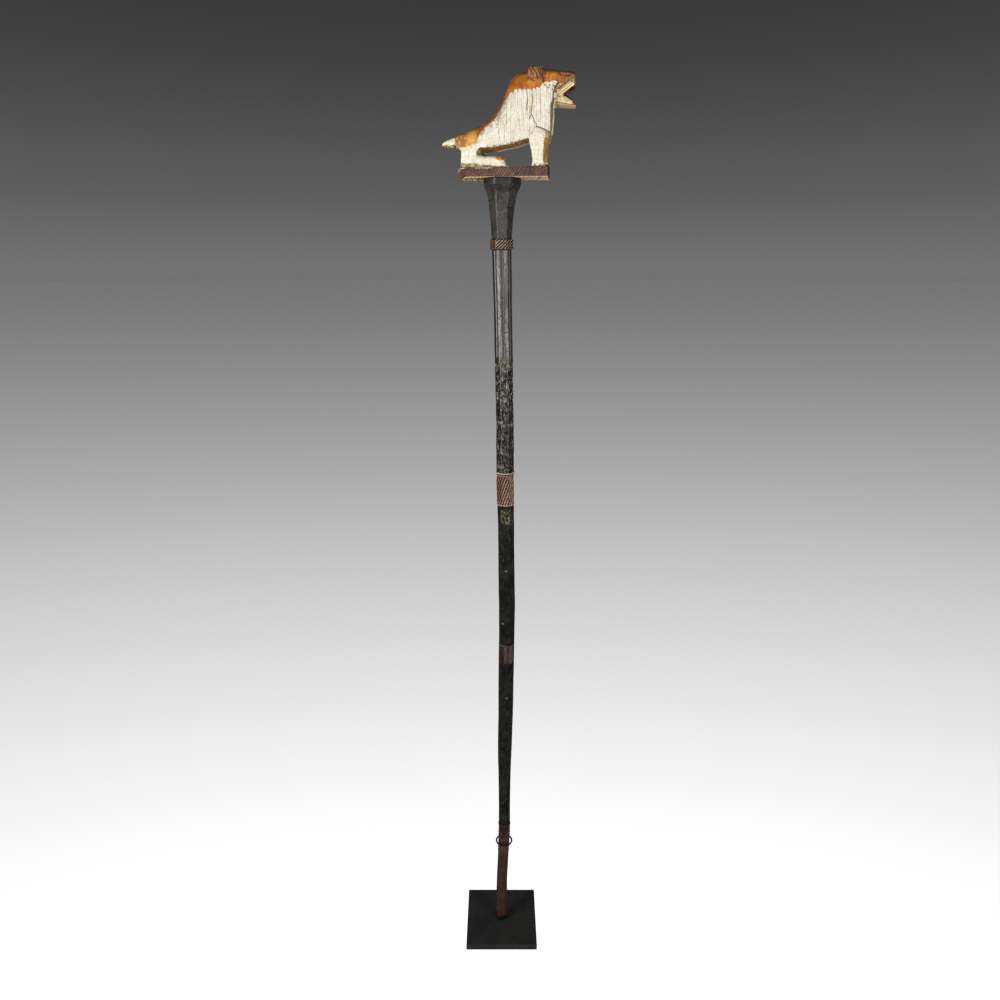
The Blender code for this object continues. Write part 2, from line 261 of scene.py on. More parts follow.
class Tree:
    """A node tree, with one method that adds any node to it."""

    def __init__(self, nodes):
        self.nodes = nodes

    def add(self, kind, settings=None, values=None, output=0):
        """Adds a node, sets it up, then fills or links its sockets, and returns one output."""
        node = self.nodes.nodes.new(kind)
        for name, setting in (settings or {}).items():
            setattr(node, name, setting)
        for key, value in (values or {}).items():
            socket = find(node.inputs, key)
            if isinstance(value, Value):
                self.nodes.links.new(value.socket, socket)
            else:
                socket.default_value = value
        return Value(self, find(node.outputs, output)) if len(node.outputs) else node

    def blend(self, value, low, high, bottom=0.0, top=1.0):
        """Goes smoothly from bottom to top while value goes from low to high."""
        return self.add("ShaderNodeMapRange", {"interpolation_type": "SMOOTHSTEP"},
                        {0: value, 1: low, 2: high, 3: bottom, 4: top})

    def slope(self, value, low, high, bottom, top):
        """Goes straight from bottom to top while value goes from low to high."""
        return self.add("ShaderNodeMapRange", {"clamp": True},
                        {0: value, 1: low, 2: high, 3: bottom, 4: top})

    def profile(self, value, stations):
        """Straight lines through stations, which run down in value."""
        total = stations[0][1]
        for (v0, w0), (v1, w1) in zip(stations, stations[1:]):
            if w1 != w0:
                total = self.slope(value, v1, v0, w1 - w0, 0.0) + total
        return total

    def mix(self, factor, first, second):
        """Goes from the first colour to the second."""
        first, second = ((*c, 1.0) if isinstance(c, tuple) and len(c) == 3 else c
                         for c in (first, second))
        return self.add("ShaderNodeMix", {"data_type": "RGBA"},
                        {"Factor": factor, "A": first, "B": second}, "Result")

    def vector(self, operation, first, second):
        return self.add("ShaderNodeVectorMath", {"operation": operation}, {0: first, 1: second})

    def combine(self, x, y, z):
        return self.add("ShaderNodeCombineXYZ", None, {0: x, 1: y, 2: z})

    def noise(self, vector, scale, detail=2.0, rough=0.5, distortion=0.0):
        return self.add("ShaderNodeTexNoise", None, {
            "Vector": vector, "Scale": scale, "Detail": detail, "Roughness": rough,
            "Distortion": distortion,
        })

    def cells(self, vector, scale, feature="F1"):
        return self.add("ShaderNodeTexVoronoi", {"feature": feature},
                        {"Vector": vector, "Scale": scale})

    def chance(self, count):
        """One random value for each whole step of a count."""
        return self.add("ShaderNodeTexWhiteNoise", {"noise_dimensions": "1D"},
                        {"W": (count + 0.5).math("FLOOR")})

    def parts(self, vector):
        """X, Y and Z of a vector."""
        x = self.add("ShaderNodeSeparateXYZ", None, {0: vector})
        return x, x.output("Y"), x.output("Z")


class Shape(Tree):
    """A Geometry Nodes tree with named inputs."""

    def __init__(self, name, inputs):
        super().__init__(bpy.data.node_groups.new(name, "GeometryNodeTree"))
        face = self.nodes.interface
        face.new_socket("Geometry", in_out="OUTPUT", socket_type="NodeSocketGeometry")
        for title, value in inputs.items():
            kind = "NodeSocketInt" if isinstance(value, int) else "NodeSocketFloat"
            face.new_socket(title, in_out="INPUT", socket_type=kind)
        self.given = inputs
        self.entry = self.nodes.nodes.new("NodeGroupInput")

    def input(self, title):
        return Value(self, find(self.entry.outputs, title))

    def store(self, geometry, values):
        """Keeps named values at the points of a geometry, for its finish."""
        for name, value in values.items():
            geometry = self.add("GeometryNodeStoreNamedAttribute", {"data_type": "FLOAT"},
                                {"Geometry": geometry, "Name": name, "Value": value})
        return geometry

    def move(self, geometry, place):
        return self.add("GeometryNodeSetPosition", None, {"Geometry": geometry, "Position": place})

    def grow(self, geometry, finish):
        """Ends the tree smooth and with its material, and returns the result as a plain object."""
        geometry = self.add("GeometryNodeSetShadeSmooth", None,
                            {"Geometry": geometry, "Shade Smooth": True})
        geometry = self.add("GeometryNodeRealizeInstances", None, {0: geometry})
        geometry = self.add("GeometryNodeSetMaterial", None, {"Geometry": geometry, "Material": finish})
        self.add("NodeGroupOutput", None, {0: geometry})
        holder = new_object(self.nodes.name, bpy.data.meshes.new("seed"))
        modifier = holder.modifiers.new("shape", "NODES")
        modifier.node_group = self.nodes
        for item in self.nodes.interface.items_tree:
            if item.in_out == "INPUT":
                modifier[item.identifier] = self.given[item.name]
        graph = bpy.context.evaluated_depsgraph_get()
        mesh = bpy.data.meshes.new_from_object(holder.evaluated_get(graph))
        mesh.name = holder.name
        holder.modifiers.remove(modifier)
        holder.data = mesh
        return holder


class Finish(Tree):
    """A material under construction, around one Principled shader."""

    def __init__(self, name, fixed):
        self.material = bpy.data.materials.new(name)
        self.material.use_nodes = True
        super().__init__(self.material.node_tree)
        self.shader = self.nodes.nodes["Principled BSDF"]
        for key, value in fixed.items():
            self.shader.inputs[key].default_value = value
        self.place = self.add("ShaderNodeTexCoord", output="Object")

    def set(self, key, value):
        self.nodes.links.new(value.socket, self.shader.inputs[key])

    def attribute(self, name):
        return self.add("ShaderNodeAttribute", {"attribute_name": name}, output="Fac")

    def mapped(self, scale, turn=(0, 0, 0)):
        return self.add("ShaderNodeMapping", None,
                        {"Vector": self.place, "Scale": scale, "Rotation": turn})

    def coat(self, below, name, uneven, low, high, above):
        """Lays a colour over another where a stored value, made uneven, passes low to high."""
        return self.mix(self.blend(self.attribute(name) + uneven, low, high), below, above)

    def bump(self, height, distance):
        value = self.add("ShaderNodeBump", None,
                         {"Height": height, "Distance": distance, "Strength": BUMP_STRENGTH})
        self.set("Normal", value)


def new_object(name, data):
    obj = bpy.data.objects.new(name, data)
    bpy.context.scene.collection.objects.link(obj)
    return obj


# --- finishes ---------------------------------------------------------------------------------
BUMP_STRENGTH = 0.5
STROKE_LEANS = (0.6, -0.7)  # radians, of the scratches on the staff


def leaf_and_lacquer():
    """Cream metal leaf, darker in its cuts, and orange lacquer over it on back and head."""
    t = Finish("leaf and lacquer", {"Coat Roughness": 0.25, "IOR": 1.45, "Specular IOR Level": 0.28})
    fine = t.noise(t.place, 900, 3, 0.6)
    broad = t.noise(t.place, 60, 3, 0.55)
    patch = t.noise(t.place, 130, 3, 0.6, 0.6)
    streak = t.noise(t.mapped((1, 1, 0.16)), 420, 3, 0.6)
    ragged = t.noise(t.mapped((1, 1, 0.3)), 330, 2, 0.6)
    wrinkle = t.cells(t.mapped((1, 1, 0.6)), 420, "DISTANCE_TO_EDGE")

    # leaf: warm, cool and yellow patches, wrinkles, scored lines, darkening in the cuts, and specks
    leaf = t.mix(t.blend(broad, 0.38, 0.66), (0.73, 0.665, 0.525), (0.79, 0.74, 0.645))
    leaf = t.mix(t.blend(patch, 0.55, 0.66) * 0.6, leaf, (0.66, 0.61, 0.61))
    leaf = t.mix(t.blend(patch, 0.45, 0.36) * 0.55, leaf, (0.76, 0.73, 0.48))
    leaf = t.mix(t.blend(wrinkle, 0.07, 0.0) * t.blend(fine, 0.4, 0.6) * 0.45, leaf, (0.36, 0.30, 0.19))
    leaf = t.mix(t.blend(streak, 0.52, 0.68) * 0.55, leaf, (0.46, 0.43, 0.34))
    leaf = t.mix(t.blend(streak, 0.42, 0.30) * 0.6, leaf, (0.86, 0.83, 0.74))
    mottle = t.noise(t.place, 250, 3, 0.65)
    leaf = t.mix(t.blend(mottle, 0.50, 0.66) * 0.5, leaf, (0.50, 0.44, 0.30))
    comb = t.attribute("comb")
    whole = t.chance(comb)
    line = t.blend(abs(comb.math("FRACT") - 0.5), 0.24, 0.46)
    scored = t.attribute("mane") * line * (0.3 + 0.7 * whole) * t.blend(streak, 0.26, 0.50)
    leaf = t.mix(scored * 0.85, leaf, (0.22, 0.19, 0.135))
    darkening = t.blend(t.attribute("cut") + 0.5 * streak, 0.5, 1.1)
    leaf = t.mix(darkening * 0.85, leaf, (0.12, 0.105, 0.070))
    speck = t.cells(t.place, 190)
    rare = t.add("ShaderNodeSeparateColor", None, {0: speck.output("Color")}, "Red")
    leaf = t.mix(t.blend(speck, 0.15, 0.09) * t.blend(rare, 0.84, 0.87), leaf, (0.06, 0.045, 0.03))
    fleck = t.blend(t.noise(t.place, 520, 2, 0.7), 0.635, 0.70)
    leaf = t.mix(fleck * 0.75, leaf, (0.20, 0.16, 0.08))

    # lacquer: amber to sienna, with drips, worn places and dark cuts
    lacquer = t.mix(t.blend(broad, 0.35, 0.68), (0.29, 0.080, 0.007), (0.50, 0.190, 0.020))
    lacquer = t.mix(t.blend(patch, 0.52, 0.66) * 0.65, lacquer, (0.27, 0.064, 0.009))
    lacquer = t.mix(t.blend(streak, 0.52, 0.70) * 0.65, lacquer, (0.16, 0.042, 0.009))
    lacquer = t.mix(t.blend(streak, 0.44, 0.30) * 0.5, lacquer, (0.60, 0.27, 0.038))
    # dusky lacquer, and painted shade where it lies on faces turned upwards
    lacquer = t.mix(t.attribute("dusky"), lacquer, (0.13, 0.040, 0.013))
    lacquer = t.coat(lacquer, "amber", 0.4 * broad, 0.3, 1.0, (0.62, 0.33, 0.080))
    rust = t.blend(t.attribute("rust") + 0.5 * (patch - 0.5), 0.2, 0.8)
    lacquer = t.mix(rust * 0.75, lacquer, (0.26, 0.075, 0.022))
    worn = t.blend(t.attribute("worn") + 1.6 * (ragged - 0.5), 0.3, 0.8)
    lacquer = t.mix(worn * 0.8, lacquer, (0.47, 0.24, 0.11))
    lacquer = t.mix(t.blend(t.attribute("cut"), 0.2, 0.8), lacquer, (0.075, 0.020, 0.008))

    shown = t.blend(t.attribute("border") + 3.0 * (ragged - 0.5), -0.35, 0.35)
    shown = shown.math("MAXIMUM", t.blend(t.attribute("white") + 0.6 * (fine - 0.5), 0.3, 0.7))
    colour = t.mix(shown, lacquer, leaf)

    # other coats, each where the carving stores it
    jaw = t.mix(t.blend(patch, 0.44, 0.56), (0.64, 0.54, 0.36), (0.44, 0.385, 0.205))
    colour = t.mix(t.attribute("jaw"), colour, jaw)
    brown = t.mix(t.blend(streak, 0.38, 0.62), (0.38, 0.215, 0.060), (0.16, 0.090, 0.030))
    colour = t.coat(colour, "brown", 0.5 * (ragged - 0.5), 0.25, 0.75, brown)
    # dull leaf for the eye, and painted shade between the legs, on the chest's front, along the mane's edge
    # and inside the mouth
    dull = t.mix(t.blend(fine, 0.4, 0.6), (0.22, 0.170, 0.100), (0.115, 0.080, 0.044))
    colour = t.coat(colour, "dull", 0.5 * (ragged - 0.5), 0.25, 0.75, dull)
    moss = t.mix(t.blend(mottle, 0.44, 0.56), (0.37, 0.32, 0.15), (0.11, 0.088, 0.038))
    colour = t.coat(colour, "moss", 0.7 * (fine - 0.5), 0.3, 0.7, moss)
    belly = t.mix(t.blend(mottle, 0.46, 0.54), (0.15, 0.060, 0.020), (0.62, 0.40, 0.16))
    flaked = t.mix(t.blend(mottle, 0.50, 0.60), (0.92, 0.76, 0.58), belly)
    belly = t.mix(t.attribute("fringe"), belly, flaked)
    colour = t.coat(colour, "belly", 0.4 * (ragged - 0.5), 0.3, 0.7, belly)
    colour = t.coat(colour, "tooth", 0.3 * (fine - 0.5), 0.3, 0.7, (0.78, 0.62, 0.31))
    lip = (t.attribute("lip") / LIP_PITCH + 0.7 * (broad - 0.5)).math("FRACT")
    lined = t.blend(abs(lip - 0.5), 0.22, 0.38) * t.blend(fine, 0.30, 0.42)
    colour = t.mix(t.attribute("tooth") * lined * 0.85, colour, (0.16, 0.095, 0.035))
    colour = t.mix(t.attribute("pearl"), colour, (0.80, 0.72, 0.60))
    colour = t.coat(colour, "red", 0.4 * (broad - 0.5), 0.35, 0.7, (0.085, 0.022, 0.013))
    colour = t.coat(colour, "gore", 0.3 * (broad - 0.5), 0.35, 0.7, (0.22, 0.030, 0.018))
    colour = t.coat(colour, "pink", 0.3 * (fine - 0.5), 0.3, 0.7, (0.56, 0.33, 0.24))
    colour = t.coat(colour, "orange", 0.5 * (fine - 0.5), 0.3, 0.6, (0.60, 0.20, 0.03))
    colour = t.coat(colour, "claw", 0.3 * (fine - 0.5), 0.3, 0.7, (0.06, 0.045, 0.018))
    # soot, and painted shade along the belly's edge
    soot = t.attribute("soot") * t.blend(mottle + 0.5 * (ragged - 0.5), 0.46, 0.56)
    colour = t.mix(soot, colour, (0.10, 0.055, 0.024))
    t.set("Base Color", colour)
    t.set("Roughness", 0.42 + 0.14 * shown + 0.18 * (fine - 0.5))
    t.set("Metallic", 0.05 + 0.10 * shown)
    t.set("Coat Weight", 0.10 - 0.06 * shown)
    relief = 0.6 * fine + 0.7 * streak + shown * 0.25 - 0.8 * scored
    t.bump(relief - 0.35 * t.blend(wrinkle, 0.08, 0.0), 0.0006)
    return t.material


def hatched_wood():
    """Reddish-brown wood of the base, scored aslant, with leaf that ran over its top edge."""
    t = Finish("hatched base wood", {"IOR": 1.45, "Specular IOR Level": 0.36})
    fine = t.noise(t.place, 800, 3, 0.6)
    broad = t.noise(t.place, 70, 3, 0.6)
    wood = t.mix(t.blend(broad, 0.36, 0.64), (0.056, 0.021, 0.012), (0.118, 0.050, 0.030))
    phase = t.attribute("phase")
    whole = t.chance(phase)
    across = phase.math("FRACT")
    score = t.attribute("hatch") * t.blend(abs(across - 0.5), 0.26, 0.42) * (0.25 + 0.75 * whole)
    score = score * t.blend(fine, 0.30, 0.48)
    lit = t.attribute("hatch") * t.blend(abs(across - 0.22), 0.14, 0.03) * t.blend(fine, 0.46, 0.60)
    wood = t.mix(lit * 0.9, wood, (0.43, 0.27, 0.215))
    wood = t.mix(score * 0.95, wood, (0.010, 0.004, 0.003))
    wood = t.mix(t.blend(fine, 0.60, 0.70) * 0.5, wood, (0.26, 0.15, 0.105))
    wood = t.mix(t.attribute("rim") * 0.7, wood, (0.022, 0.010, 0.007))
    yellow = t.mix(t.blend(broad, 0.4, 0.6), (0.56, 0.39, 0.155), (0.44, 0.30, 0.125))
    rose = t.mix(t.blend(broad, 0.4, 0.6), (0.60, 0.37, 0.235), (0.48, 0.31, 0.205))
    under = t.mix(t.attribute("rose"), yellow, rose)
    pitted = t.blend(t.noise(t.mapped((1, 0.3, 1)), 260, 2) - 0.07 * t.attribute("rose"), 0.50, 0.54)
    under = t.mix(pitted, under, (0.10, 0.060, 0.022))
    under = t.mix(t.attribute("lip") * t.blend(fine, 0.36, 0.50), under, (0.84, 0.66, 0.34))
    colour = t.mix(t.attribute("under"), wood, under)
    # pale leaf that ran over the edges, and a painted highlight line near the end under the head
    pale = t.mix(t.blend(fine, 0.38, 0.60), (0.66, 0.60, 0.38), (0.20, 0.175, 0.075))
    colour = t.coat(colour, "spill_and_highlight", 0.8 * (fine - 0.5), 0.3, 0.6, pale)
    # painted shade on the end under the head, and the dark nail hole
    colour = t.mix(t.attribute("dark"), colour, (0.02, 0.014, 0.010))
    t.set("Base Color", colour)
    t.set("Roughness", 0.5 + 0.3 * (fine - 0.5))
    t.bump(fine + 0.5 * broad - 0.8 * score, 0.0005)
    return t.material


def blackened_wood():
    """Black, handled wood: bare brown in the carved bands and at the foot, scratched in the middle."""
    t = Finish("blackened wood", {"IOR": 1.45})
    fine = t.noise(t.place, 700, 3, 0.6)
    broad = t.noise(t.place, 45, 3, 0.6)
    grain = t.noise(t.mapped((1, 1, 0.07)), 520, 3, 0.6)
    black = t.mix(t.blend(broad, 0.35, 0.65), (0.0045, 0.0042, 0.0035), (0.012, 0.0115, 0.0095))
    cap = t.mix(t.blend(broad, 0.40, 0.60), (0.012, 0.0125, 0.009), (0.030, 0.024, 0.022))
    mottle = t.noise(t.place, 230, 3, 0.65)
    cap = t.mix(t.blend(mottle, 0.52, 0.66) * 0.7, cap, (0.075, 0.062, 0.050))
    cap = t.mix(t.blend(mottle, 0.42, 0.32) * 0.8, cap, (0.006, 0.006, 0.005))
    # painted shadow of the base on the capital's top
    cap = t.mix(t.attribute("shade"), cap, (0.004, 0.004, 0.004))
    colour = t.mix(t.attribute("capital"), black, cap)
    streaky = t.blend(t.noise(t.mapped((1, 1, 0.08)), 300, 3, 0.6), 0.32, 0.58)
    # painted highlight with some wear: the two reeds beside the front groove made pale, streaked along the
    # grain
    pale = t.mix(t.blend(grain, 0.42, 0.60), (0.085, 0.070, 0.052), (0.27, 0.25, 0.225))
    wear_and_sheen = t.attribute("wear_and_sheen") * (0.2 + 0.6 * streaky) * t.blend(mottle, 0.34, 0.50)
    colour = t.mix(wear_and_sheen, colour, pale)
    colour = t.mix(t.attribute("patch") * t.blend(mottle, 0.46, 0.60), colour, (0.135, 0.130, 0.060))
    colour = t.mix(t.attribute("groove") * 0.88, colour, (0.022, 0.018, 0.011))

    # scratched stretch: brown smears under pale strokes that lean both ways
    worn = t.attribute("worn")
    colour = t.mix(worn * t.blend(broad, 0.44, 0.56) * 0.8, colour, (0.028, 0.014, 0.008))
    right, left = (
        t.blend(t.noise(t.mapped((1, 1, 0.24), (0, lean, 0)), 410, 2, 0.6), 0.565, 0.605)
        for lean in STROKE_LEANS
    )
    stroke = right.math("MAXIMUM", left)
    stroke = stroke * t.blend(fine, 0.36, 0.56)
    tint = t.mix(t.blend(t.noise(t.place, 110, 2), 0.46, 0.54), (0.235, 0.215, 0.115), (0.47, 0.44, 0.34))
    gathered = t.blend(t.noise(t.place, 85, 2), 0.42, 0.56, 0.06, 1.0)
    colour = t.mix(stroke * gathered * (worn * 0.9 + 0.05), colour, tint)

    # bare bands: dark cuts, reddish flanks and light ridges
    brown = t.mix(t.blend(grain, 0.35, 0.65), (0.085, 0.025, 0.011), (0.215, 0.070, 0.030))
    brown = t.mix(t.attribute("ridge"), brown, (0.56, 0.39, 0.29))
    colour = t.mix(t.attribute("bare") * (0.6 + 0.8 * broad), colour, brown)
    wave, sway = t.attribute("wave"), t.attribute("sway")
    crest = wave / (wave * wave + sway * sway + 0.0001) ** 0.5
    light = t.attribute("light")
    cut = t.blend(crest, -0.45, 0.15) * t.attribute("banded") * (0.72 + 0.28 * light)
    colour = t.mix(cut, colour, (0.016, 0.006, 0.004))
    lit = t.blend(crest, -0.68, -0.94) * t.blend(mottle, 0.28, 0.44) * t.attribute("banded") * light
    colour = t.mix(lit, colour, (0.62, 0.42, 0.31))
    colour = t.mix(t.attribute("nick") * 0.5, colour, (0.30, 0.28, 0.26))
    t.set("Base Color", colour)
    rough = 0.20 + 0.10 * t.attribute("bare") + 0.22 * t.attribute("capital")
    rough = rough + 0.12 * t.attribute("wear_and_sheen")
    t.set("Roughness", rough + 0.2 * (fine - 0.5))
    rugged = 0.3 + 0.6 * t.attribute("bare").math("MAXIMUM", 0.5 * worn)
    t.bump((0.5 * fine + grain) * rugged, 0.0005)
    return t.material


def black_steel():
    """Satin black paint on steel, with a fine grain and rubbed patches."""
    t = Finish("black steel", {"IOR": 1.45})
    grain = t.noise(t.place, 1600, 2, 0.6)
    wear_and_sheen = t.noise(t.place, 30, 3, 0.6)
    colour = t.mix(t.blend(wear_and_sheen, 0.4, 0.62), (0.0135, 0.0130, 0.0125), (0.0185, 0.0175, 0.0165))
    colour = t.mix(t.blend(grain, 0.66, 0.74) * 0.5, colour, (0.045, 0.043, 0.040))
    t.set("Base Color", colour)
    t.set("Roughness", 0.52 + 0.16 * (wear_and_sheen - 0.5) + 0.1 * (grain - 0.5))
    t.bump(grain, 0.0002)
    return t.material


def black_wire():
    """Dull, browned black wire of the ring."""
    t = Finish("black wire", {"IOR": 1.45, "Specular IOR Level": 0.06})
    spots = t.noise(t.place, 400, 2, 0.6)
    t.set("Base Color", t.mix(t.blend(spots, 0.4, 0.65), (0.006, 0.004, 0.004), (0.020, 0.012, 0.009)))
    t.set("Roughness", 0.7 + 0.2 * (spots - 0.5))
    return t.material


# --- the staff --------------------------------------------------------------------------------
def staff_piece(finish):
    """One cylinder whose rings follow the stretches and whose skin follows the carving's rules."""
    rings = sum(count for _, count in STRETCHES)
    t = Shape("carved_staff", {
        "Around": AROUND, "Rings": rings, "Reed depth": REED_DEPTH, "Seed": 3.0,
    })
    tube = t.add("GeometryNodeMeshCylinder", None, {
        "Vertices": t.input("Around"), "Side Segments": t.input("Rings"), "Radius": 1.0, "Depth": 1.0,
    }, "Mesh")
    unit_x, unit_y, unit_z = t.parts(t.add("GeometryNodeInputPosition"))
    ring = (0.5 - unit_z) * rings  # counted from the top
    level, count = STAFF_TOP, 0
    z = level
    for low, steps in STRETCHES:
        z = t.slope(ring, count, count + steps, 0.0, low - level) + z
        level, count = low, count + steps
    own_turn = unit_y.math("ARCTAN2", unit_x) / math.tau
    turn = own_turn
    for low, high, *_, leans in BANDS:  # the mesh's upright lines lean with the cuts
        turn = t.slope(z, low, high, 0.0, leans / AROUND) + turn
    across = (turn * math.tau).math("COSINE")
    forward = (turn * math.tau).math("SINE")
    facet = (turn * SIDES + 0.5).math("FRACT") - 0.5  # 0 in the middle of a flat
    ahead = abs((turn + 0.75).math("FRACT") - 0.5) * SIDES  # 0 at the front, 1 one flat away
    share = (z - STAFF_FOOT) / (STAFF_TOP - STAFF_FOOT)
    sharp = CORNER_AT_FOOT + (CORNER_AT_TOP - CORNER_AT_FOOT) * share * t.slope(z, 1418, 1432, 1.0, 0.45)
    width = t.profile(z, WIDTHS)

    seed = t.input("Seed")
    around = t.combine(across * 14, forward * 14, z + 100 * seed)
    wander = t.noise(around, 0.03, 2) - 0.5

    # reeds
    reeded = t.blend(z + 34 * wander + 10 * across, REED_END - 14, REED_END + 16)
    reeded = reeded * t.blend(z, REED_TOP - 1.5, REED_TOP, 1.0, 0.0)
    valley = (1 - 2 * abs(facet)) ** 4.2
    octagon = 1 / (facet * (math.tau / SIDES)).math("COSINE") - 1
    octagon = octagon * t.slope(abs(facet), 0.38, 0.5, 1.0, 0.74)
    crest_flat = 1 / ((0.5 - abs(facet)) * (math.tau / SIDES)).math("COSINE") - 1
    facets = sharp * octagon * (1 - reeded) + 0.95 * crest_flat * reeded
    radius = 0.5 * width * (1 + facets)
    radius = radius + reeded * (0.5 - t.input("Reed depth") * valley)

    # tool facets and gouges in the stretch below the reeds
    rough = t.blend(z + 60 * wander, *ROUGH_TOP, 1.0, 0.0) * t.blend(z, 1080, 1125, 0.5, 1.0)
    rough = rough * t.blend(z, *ROUGH_END)
    patch = t.blend(abs(z + 30 * wander + 6 * across - PATCH_HEIGHT), 17, 7)
    patch = patch * t.blend(forward, -0.3, -0.6)
    patch = patch * t.blend(abs(across - 0.1), 0.85, 0.5)
    plain = t.blend(z, *PLAIN_START)
    long_way = t.combine(across * 14, forward * 14, z * 0.3 + 50 * seed)
    scoop = t.cells(long_way, 0.14)
    chip = t.cells(t.combine(across * 14, forward * 14, z * 0.55), 0.27)
    tooled = t.blend(z + 60 * wander, *ROUGH_TOP, 1.0, 0.0) * t.blend(z + 40 * wander, *TOOLED_END)
    hollow = tooled * (1.3 * (1 - scoop) ** 2 + 0.55 * t.blend(chip, 0.1, 0.5, 1.0, 0.0))
    radius = radius - hollow + 0.55 * wander * plain

    # carved bands and beads
    bare = BARE_FOOT * t.blend(z + 60 * wander, *FOOT_START, 1.0, 0.0)
    bare = bare * t.blend(z, BLACK_TIP - 1, BLACK_TIP + 1)
    swings, sways, lights, carvings, crests, nicks = [], [], [], [], [], []
    for low, high, ragged, depth, swelling, bared, lightness, tilt, uncut, cuts, _ in BANDS:
        edge = z + ragged * wander
        inside = t.blend(edge, low - 0.6, low + 0.6) * t.blend(edge, high - 0.6, high + 0.6, 1.0, 0.0)
        carved = inside * t.blend(across, uncut, uncut + 0.12)
        phase = (own_turn * cuts + 0.3 * wander) * math.tau
        swing = phase.math("COSINE") * carved
        radius = radius + inside * swelling - 0.5 * depth * (carved + swing)
        swings.append(swing)
        sways.append(phase.math("SINE") * carved)
        lights.append(lightness * inside * (1 + tilt * across))
        carvings.append(carved)
        bare = bare.math("MAXIMUM", bared * inside)
    for middle, half, proud, wear_and_sheen in BEADS:
        crest = t.blend(abs(z + 1.2 * wander - middle), 0.0, half, 1.0, 0.0)
        radius = radius + proud * crest
        crests.append(wear_and_sheen * crest)
        bare = bare.math("MAXIMUM", wear_and_sheen * crest)
    for height, middle, half in NICKS:
        line = t.blend(abs(z - height), 1.5, 0.2) * t.blend(abs(across - middle), half, 0.5 * half)
        nicks.append(line * t.blend(forward, -0.2, -0.4))
    nick = sum(nicks)
    radius = radius - 0.3 * nick

    middle = t.profile(z, STEM_LINE)
    place = t.combine((middle + radius * across) * MM, radius * forward * MM, z * MM)
    skin = t.store(tube, {
        "wave": sum(swings), "sway": sum(sways), "light": sum(lights), "banded": sum(carvings),
        "ridge": sum(crests), "nick": nick, "bare": bare, "patch": patch,
        "groove": reeded * t.blend(abs(facet), 0.30, 0.12),
        # painted highlight on the two reeds either side of the front groove, none round the back
        "wear_and_sheen": reeded * t.blend(ahead, 0.10, 0.24) * t.blend(ahead, 1.06, 0.84),
        "worn": rough * (1 - reeded),
        # painted shadow of the base on the capital's top
        "shade": t.blend(z + 8 * wander, SHADE_LOW, SHADE_LOW + 6),
        "capital": t.blend(z + 30 * wander, CAPITAL_LOW, CAPITAL_LOW + 10),
    })
    return t.grow(t.move(skin, place), finish)


